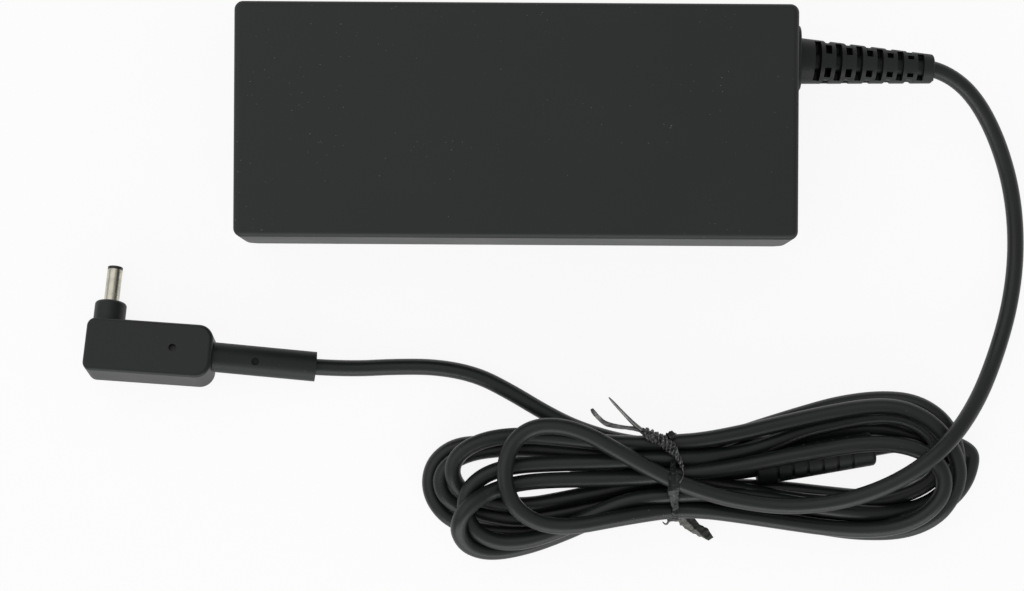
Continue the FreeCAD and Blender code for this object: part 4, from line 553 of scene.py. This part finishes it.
FINISHES = {
    "case_plastic": moulded("case_plastic", CASE_BLACK, 0.52),
    "moulded_pvc": moulded("moulded_pvc", PVC_BLACK, 0.5, grain=1500, dust=0.35, index=1.41),
    "cord_jacket": lead_jacket(),
    "plug_mould_plastic": moulded("plug_mould_plastic", PVC_BLACK, 0.46, grain=1500, dust=0.25, index=1.43),
    "tie_plastic": moulded("tie_plastic", (0.02, 0.02, 0.021), 0.22, grain=900, depth=0.00001, dust=0.1),
    "tie_film": tie_film(),
    "tie_crinkle": tie_crinkle(),
    "tie_torn": tie_torn(),
    "tie_backing": tie_backing(),
    "tie_steel": metal("tie_steel", (0.20, 0.20, 0.195), 0.42),
    "inlet_plastic": moulded("inlet_plastic", (0.022, 0.022, 0.023), 0.4),
    "inlet_pin_metal": metal("inlet_pin_metal", (0.66, 0.65, 0.62), 0.22),
    "barrel_nickel": metal("barrel_nickel", (0.58, 0.56, 0.47), 0.24),
    "insulator_plastic": plain("insulator_plastic", (0.02, 0.02, 0.02), 0.4),
    "contact_brass": metal("contact_brass", (0.62, 0.47, 0.22), 0.3),
    "board_laminate": board_laminate(),
    "fuse_plastic": plain("fuse_plastic", (0.30, 0.27, 0.22), 0.45),
    "disc_varnish": plain("disc_varnish", (0.04, 0.12, 0.30), 0.3),
    "film_yellow": plain("film_yellow", (0.62, 0.45, 0.06), 0.42),
    "ferrite_grey": plain("ferrite_grey", (0.06, 0.06, 0.062), 0.6, drift=0.7, per_metre=500, grain=3500,
                          depth=0.00004),
    "copper_wire": copper_wire(),
    "package_epoxy": plain("package_epoxy", (0.02, 0.02, 0.022), 0.5),
    "can_aluminium": metal("can_aluminium", (0.72, 0.72, 0.73), 0.3, lines=600),
    "sink_aluminium": metal("sink_aluminium", (0.66, 0.67, 0.68), 0.36, lines=500),
    "silicone_pad": plain("silicone_pad", (0.35, 0.36, 0.37), 0.7),
    "screw_steel": metal("screw_steel", (0.55, 0.55, 0.56), 0.28),
    "bobbin_plastic": plain("bobbin_plastic", (0.05, 0.045, 0.04), 0.45),
    "tape_yellow": plain("tape_yellow", (0.65, 0.50, 0.08), 0.3),
    "film_clear": plain("film_clear", (0.55, 0.56, 0.50), 0.25),
    "wire_red": plain("wire_red", (0.35, 0.02, 0.015), 0.35),
    "wire_black": plain("wire_black", (0.02, 0.02, 0.02), 0.35),
}


def dress_nodes():
    """Gives each solid's material slots the finish of the same name."""
    for node in nodes.values():
        for holder in node.material_slots:
            name = holder.material.name.split(".")[0] if holder.material else ""
            if name in FINISHES:
                holder.material = FINISHES[name]


# New pieces
def smooth_line(name, places, steps):
    """A curve of one smooth open line, whose control points are the places given."""
    line = bpy.data.curves.new(name, "CURVE")
    line.dimensions = "3D"
    line.use_fill_caps = True
    run = line.splines.new("NURBS")
    run.points.add(len(places) - 1)
    for point, place in zip(run.points, places):
        point.co = (*place, 1)
    run.order_u = 3
    run.use_endpoint_u = True
    run.resolution_u = steps
    return line, run


def added(name, data):
    piece = bpy.data.objects.new(name, data)
    bpy.context.collection.objects.link(piece)
    return piece


def meshed(name, line):
    select_only(added(name, line))
    bpy.ops.object.convert(target="MESH")
    return bpy.context.object


def finished(piece, finish, slot, *replaced):
    piece.data.materials.clear()
    piece.data.materials.append(FINISHES[finish])
    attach(piece, "root")
    if replaced:
        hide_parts(*replaced)


# Lead, from the strain relief through the hank to the plug
def lead():
    line, strand = smooth_line("output_lead", LEAD_LINE + HANK_LINE + TAIL_LINE, LEAD_STEPS)
    line.bevel_depth = LEAD_DIAMETER / 2 + LEAD_SWELL
    line.bevel_resolution = 5
    line.materials.append(FINISHES["cord_jacket"])
    piece = added("output_lead", line)
    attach(piece, "root")
    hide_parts("cord_lead", "cord_hank", "cord_tail")


# Strain relief: the rubber seen down its slots
def relief_webs():
    low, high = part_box("dc_strain_relief")
    middle = [(near + far) / 2 for near, far in zip(low, high)]
    place = (low[0] + WEB_FROM_INNER_END, middle[1] + WEB_ASIDE, middle[2] + WEB_BELOW)
    deselect()
    bpy.ops.mesh.primitive_cube_add(size=1, location=place, scale=WEB_SIZE)
    piece = bpy.context.object
    piece.name = "relief_webs"
    bpy.ops.object.transform_apply(location=True, rotation=False, scale=True)
    bpy.ops.object.mode_set(mode="EDIT")
    bpy.ops.mesh.select_all(action="DESELECT")
    bpy.ops.object.mode_set(mode="OBJECT")
    for corner in piece.data.vertices:
        corner.select = corner.co.x > place[0]
    bpy.ops.object.mode_set(mode="EDIT")
    tip = (place[0] + WEB_SIZE[0] / 2, place[1], place[2])
    bpy.ops.transform.resize(value=WEB_TIP_SCALE, center_override=tip)
    bpy.ops.transform.translate(value=WEB_TIP_SHIFT)
    bpy.ops.mesh.select_all(action="SELECT")
    bpy.ops.mesh.bevel(offset=WEB_BEVEL, segments=2)
    bpy.ops.object.mode_set(mode="OBJECT")
    finished(piece, "moulded_pvc", "moulded_pvc")


# Twist tie
def strip(name, stations, thickness, lean=FLAT_TILT, turns=0.0, cuts=2):
    """A thin strip along its stations; lean tilts all of it, turns twists it on its way, and cuts are the
    times that its faces are split for the creases."""
    line, run = smooth_line(name, [place for place, half_width, tilt in stations], STRIP_STEPS)
    last = len(stations) - 1
    for index, (place, half_width, tilt) in enumerate(stations):
        run.points[index].radius = half_width / FULL_HALF_WIDTH
        run.points[index].tilt = math.radians(lean + tilt + 360 * turns * index / last)
    line.twist_mode = "MINIMUM"
    line.extrude = FULL_HALF_WIDTH - thickness / 2
    line.bevel_depth = thickness / 2
    line.bevel_resolution = 1
    piece = meshed(name, line)
    split = piece.modifiers.new("split", "SUBSURF")
    split.subdivision_type = "SIMPLE"
    split.levels = split.render_levels = cuts
    bpy.ops.object.modifier_apply(modifier="split")
    return piece


def wire(name, stations):
    """A round wire along its stations, as thick as their widths."""
    line, run = smooth_line(name, [place for place, half_width in stations], WIRE_STEPS)
    for point, (place, half_width) in zip(run.points, stations):
        point.radius = half_width / FULL_HALF_WIDTH
    line.bevel_depth = FULL_HALF_WIDTH
    line.bevel_resolution = 2
    return meshed(name, line)


def crumple(piece, size, depth):
    """Presses creases of the given size and depth into a piece, and smooths what isn't a crease."""
    pattern = bpy.data.textures.new("creases_" + piece.name, "CLOUDS")
    pattern.noise_scale = size
    pattern.noise_depth = 1
    select_only(piece)
    folds = piece.modifiers.new("folds", "DISPLACE")
    folds.texture = pattern
    folds.texture_coords = "LOCAL"
    folds.mid_level = 0.5
    folds.strength = depth
    bpy.ops.object.modifier_apply(modifier="folds")
    bpy.ops.object.shade_smooth_by_angle(angle=SMOOTH_ANGLE)


def joined(name, *parts):
    deselect()
    for part in parts:
        part.select_set(True)
    bpy.context.view_layer.objects.active = parts[0]
    bpy.ops.object.join()
    piece = bpy.context.object
    piece.name = name
    return piece


def tie_band():
    band = strip("tie_band", TIE_BAND, FILM_THICKNESS)
    crumple(band, *BAND_CREASES)
    finished(band, "tie_film", "tie_plastic", "twist_tie")


def tie_twist():
    first = strip("tie_twist", TIE_TWIST, TWIST_THICKNESS, turns=TWIST_TURNS)
    second = strip("tie_twist_other", TIE_TWIST, TWIST_THICKNESS, 0.0, TWIST_TURNS)
    twist = joined("tie_twist", first, second)
    crumple(twist, *TWIST_CREASES)
    finished(twist, "tie_crinkle", "tie_plastic")


def tie_knob():
    deselect()
    bpy.ops.mesh.primitive_ico_sphere_add(subdivisions=5, radius=KNOB_RADIUS, location=TIE_KNOB)
    knob = bpy.context.object
    knob.name = "tie_knob"
    bpy.ops.transform.resize(value=KNOB_SCALE, center_override=TIE_KNOB)
    bpy.ops.object.transform_apply(location=True, rotation=True, scale=True)
    crumple(knob, *KNOB_CREASES)
    finished(knob, "tie_film", "tie_plastic")


def tie_prong():
    prong = strip("tie_prong", TIE_PRONG, FILM_THICKNESS, PRONG_TILT)
    crumple(prong, *PRONG_CREASES)
    finished(prong, "tie_backing", "tie_plastic")


def tie_tail():
    tail = strip("tie_tail", TIE_TAIL, FILM_THICKNESS, cuts=3)
    crumple(tail, *TAIL_CREASES)
    finished(tail, "tie_torn", "tie_plastic")


def tie_wires():
    wires = joined("tie_wires", wire("tie_wires", TIE_WIRE), wire("tie_end", TIE_END),
                   wire("tie_hook", TIE_HOOK))
    bpy.ops.object.shade_smooth_by_angle(angle=SMOOTH_ANGLE)
    finished(wires, "tie_steel", "screw_steel")


# Floor, light and camera
def floor():
    deselect()
    bpy.ops.mesh.primitive_plane_add(size=FLOOR_SIZE)
    ground = bpy.context.object
    ground.name = "floor"
    finish = Finish("pale_floor", FLOOR_COLOUR, 0.9)
    share = finish.seen("Is Glossy Ray") * FLOOR_GLOW
    matt = Signal(finish, finish.shader.outputs[0])
    glow = finish.node("ShaderNodeEmission", {}, {"Color": WHITE})
    mixed = finish.node("ShaderNodeMixShader", {}, {0: share, 1: matt, 2: glow})
    finish.feed(finish.tree.nodes["Material Output"].inputs["Surface"], mixed)
    ground.data.materials.append(finish.material)


def sky():
    world = bpy.data.worlds.new("studio")
    world.use_nodes = True
    air = Shading(world.node_tree)
    background = air.tree.nodes["Background"]
    sockets = {"Value": air.seen("Is Transmission Ray"), "To Min": SKY_LIGHT, "To Max": 1.0}
    air.feed(background.inputs["Strength"], air.node("ShaderNodeMapRange", {}, sockets))
    air.feed(background.inputs["Color"], WHITE)
    bpy.context.scene.world = world


def lamp(name, place, size, power):
    data = bpy.data.lights.new(name, "AREA")
    data.shape = "RECTANGLE"
    data.size, data.size_y = size
    data.energy = power
    thing = added(name, data)
    thing.location = place
    thing.rotation_euler = (LAMPS_AIM - Vector(place)).to_track_quat("-Z", "Y").to_euler()


def camera():
    data = bpy.data.cameras.new("overhead")
    data.sensor_width = SENSOR_WIDTH
    data.lens = SENSOR_WIDTH * FOCAL_IN_PIXELS / PICTURE_WIDTH
    data.clip_start = NEAREST_SEEN
    thing = added("overhead", data)
    thing.location = CAMERA_PLACE
    thing.rotation_euler = (0, 0, CAMERA_ROLL)
    bpy.context.scene.camera = thing


deselect()
dress_nodes()
lead()
relief_webs()
tie_band()
tie_twist()
tie_knob()
tie_prong()
tie_tail()
tie_wires()
floor()
sky()
lamp("key", *KEY_LAMP)
lamp("front", *FRONT_LAMP)
camera()
bpy.context.scene.view_settings.view_transform = "Standard"
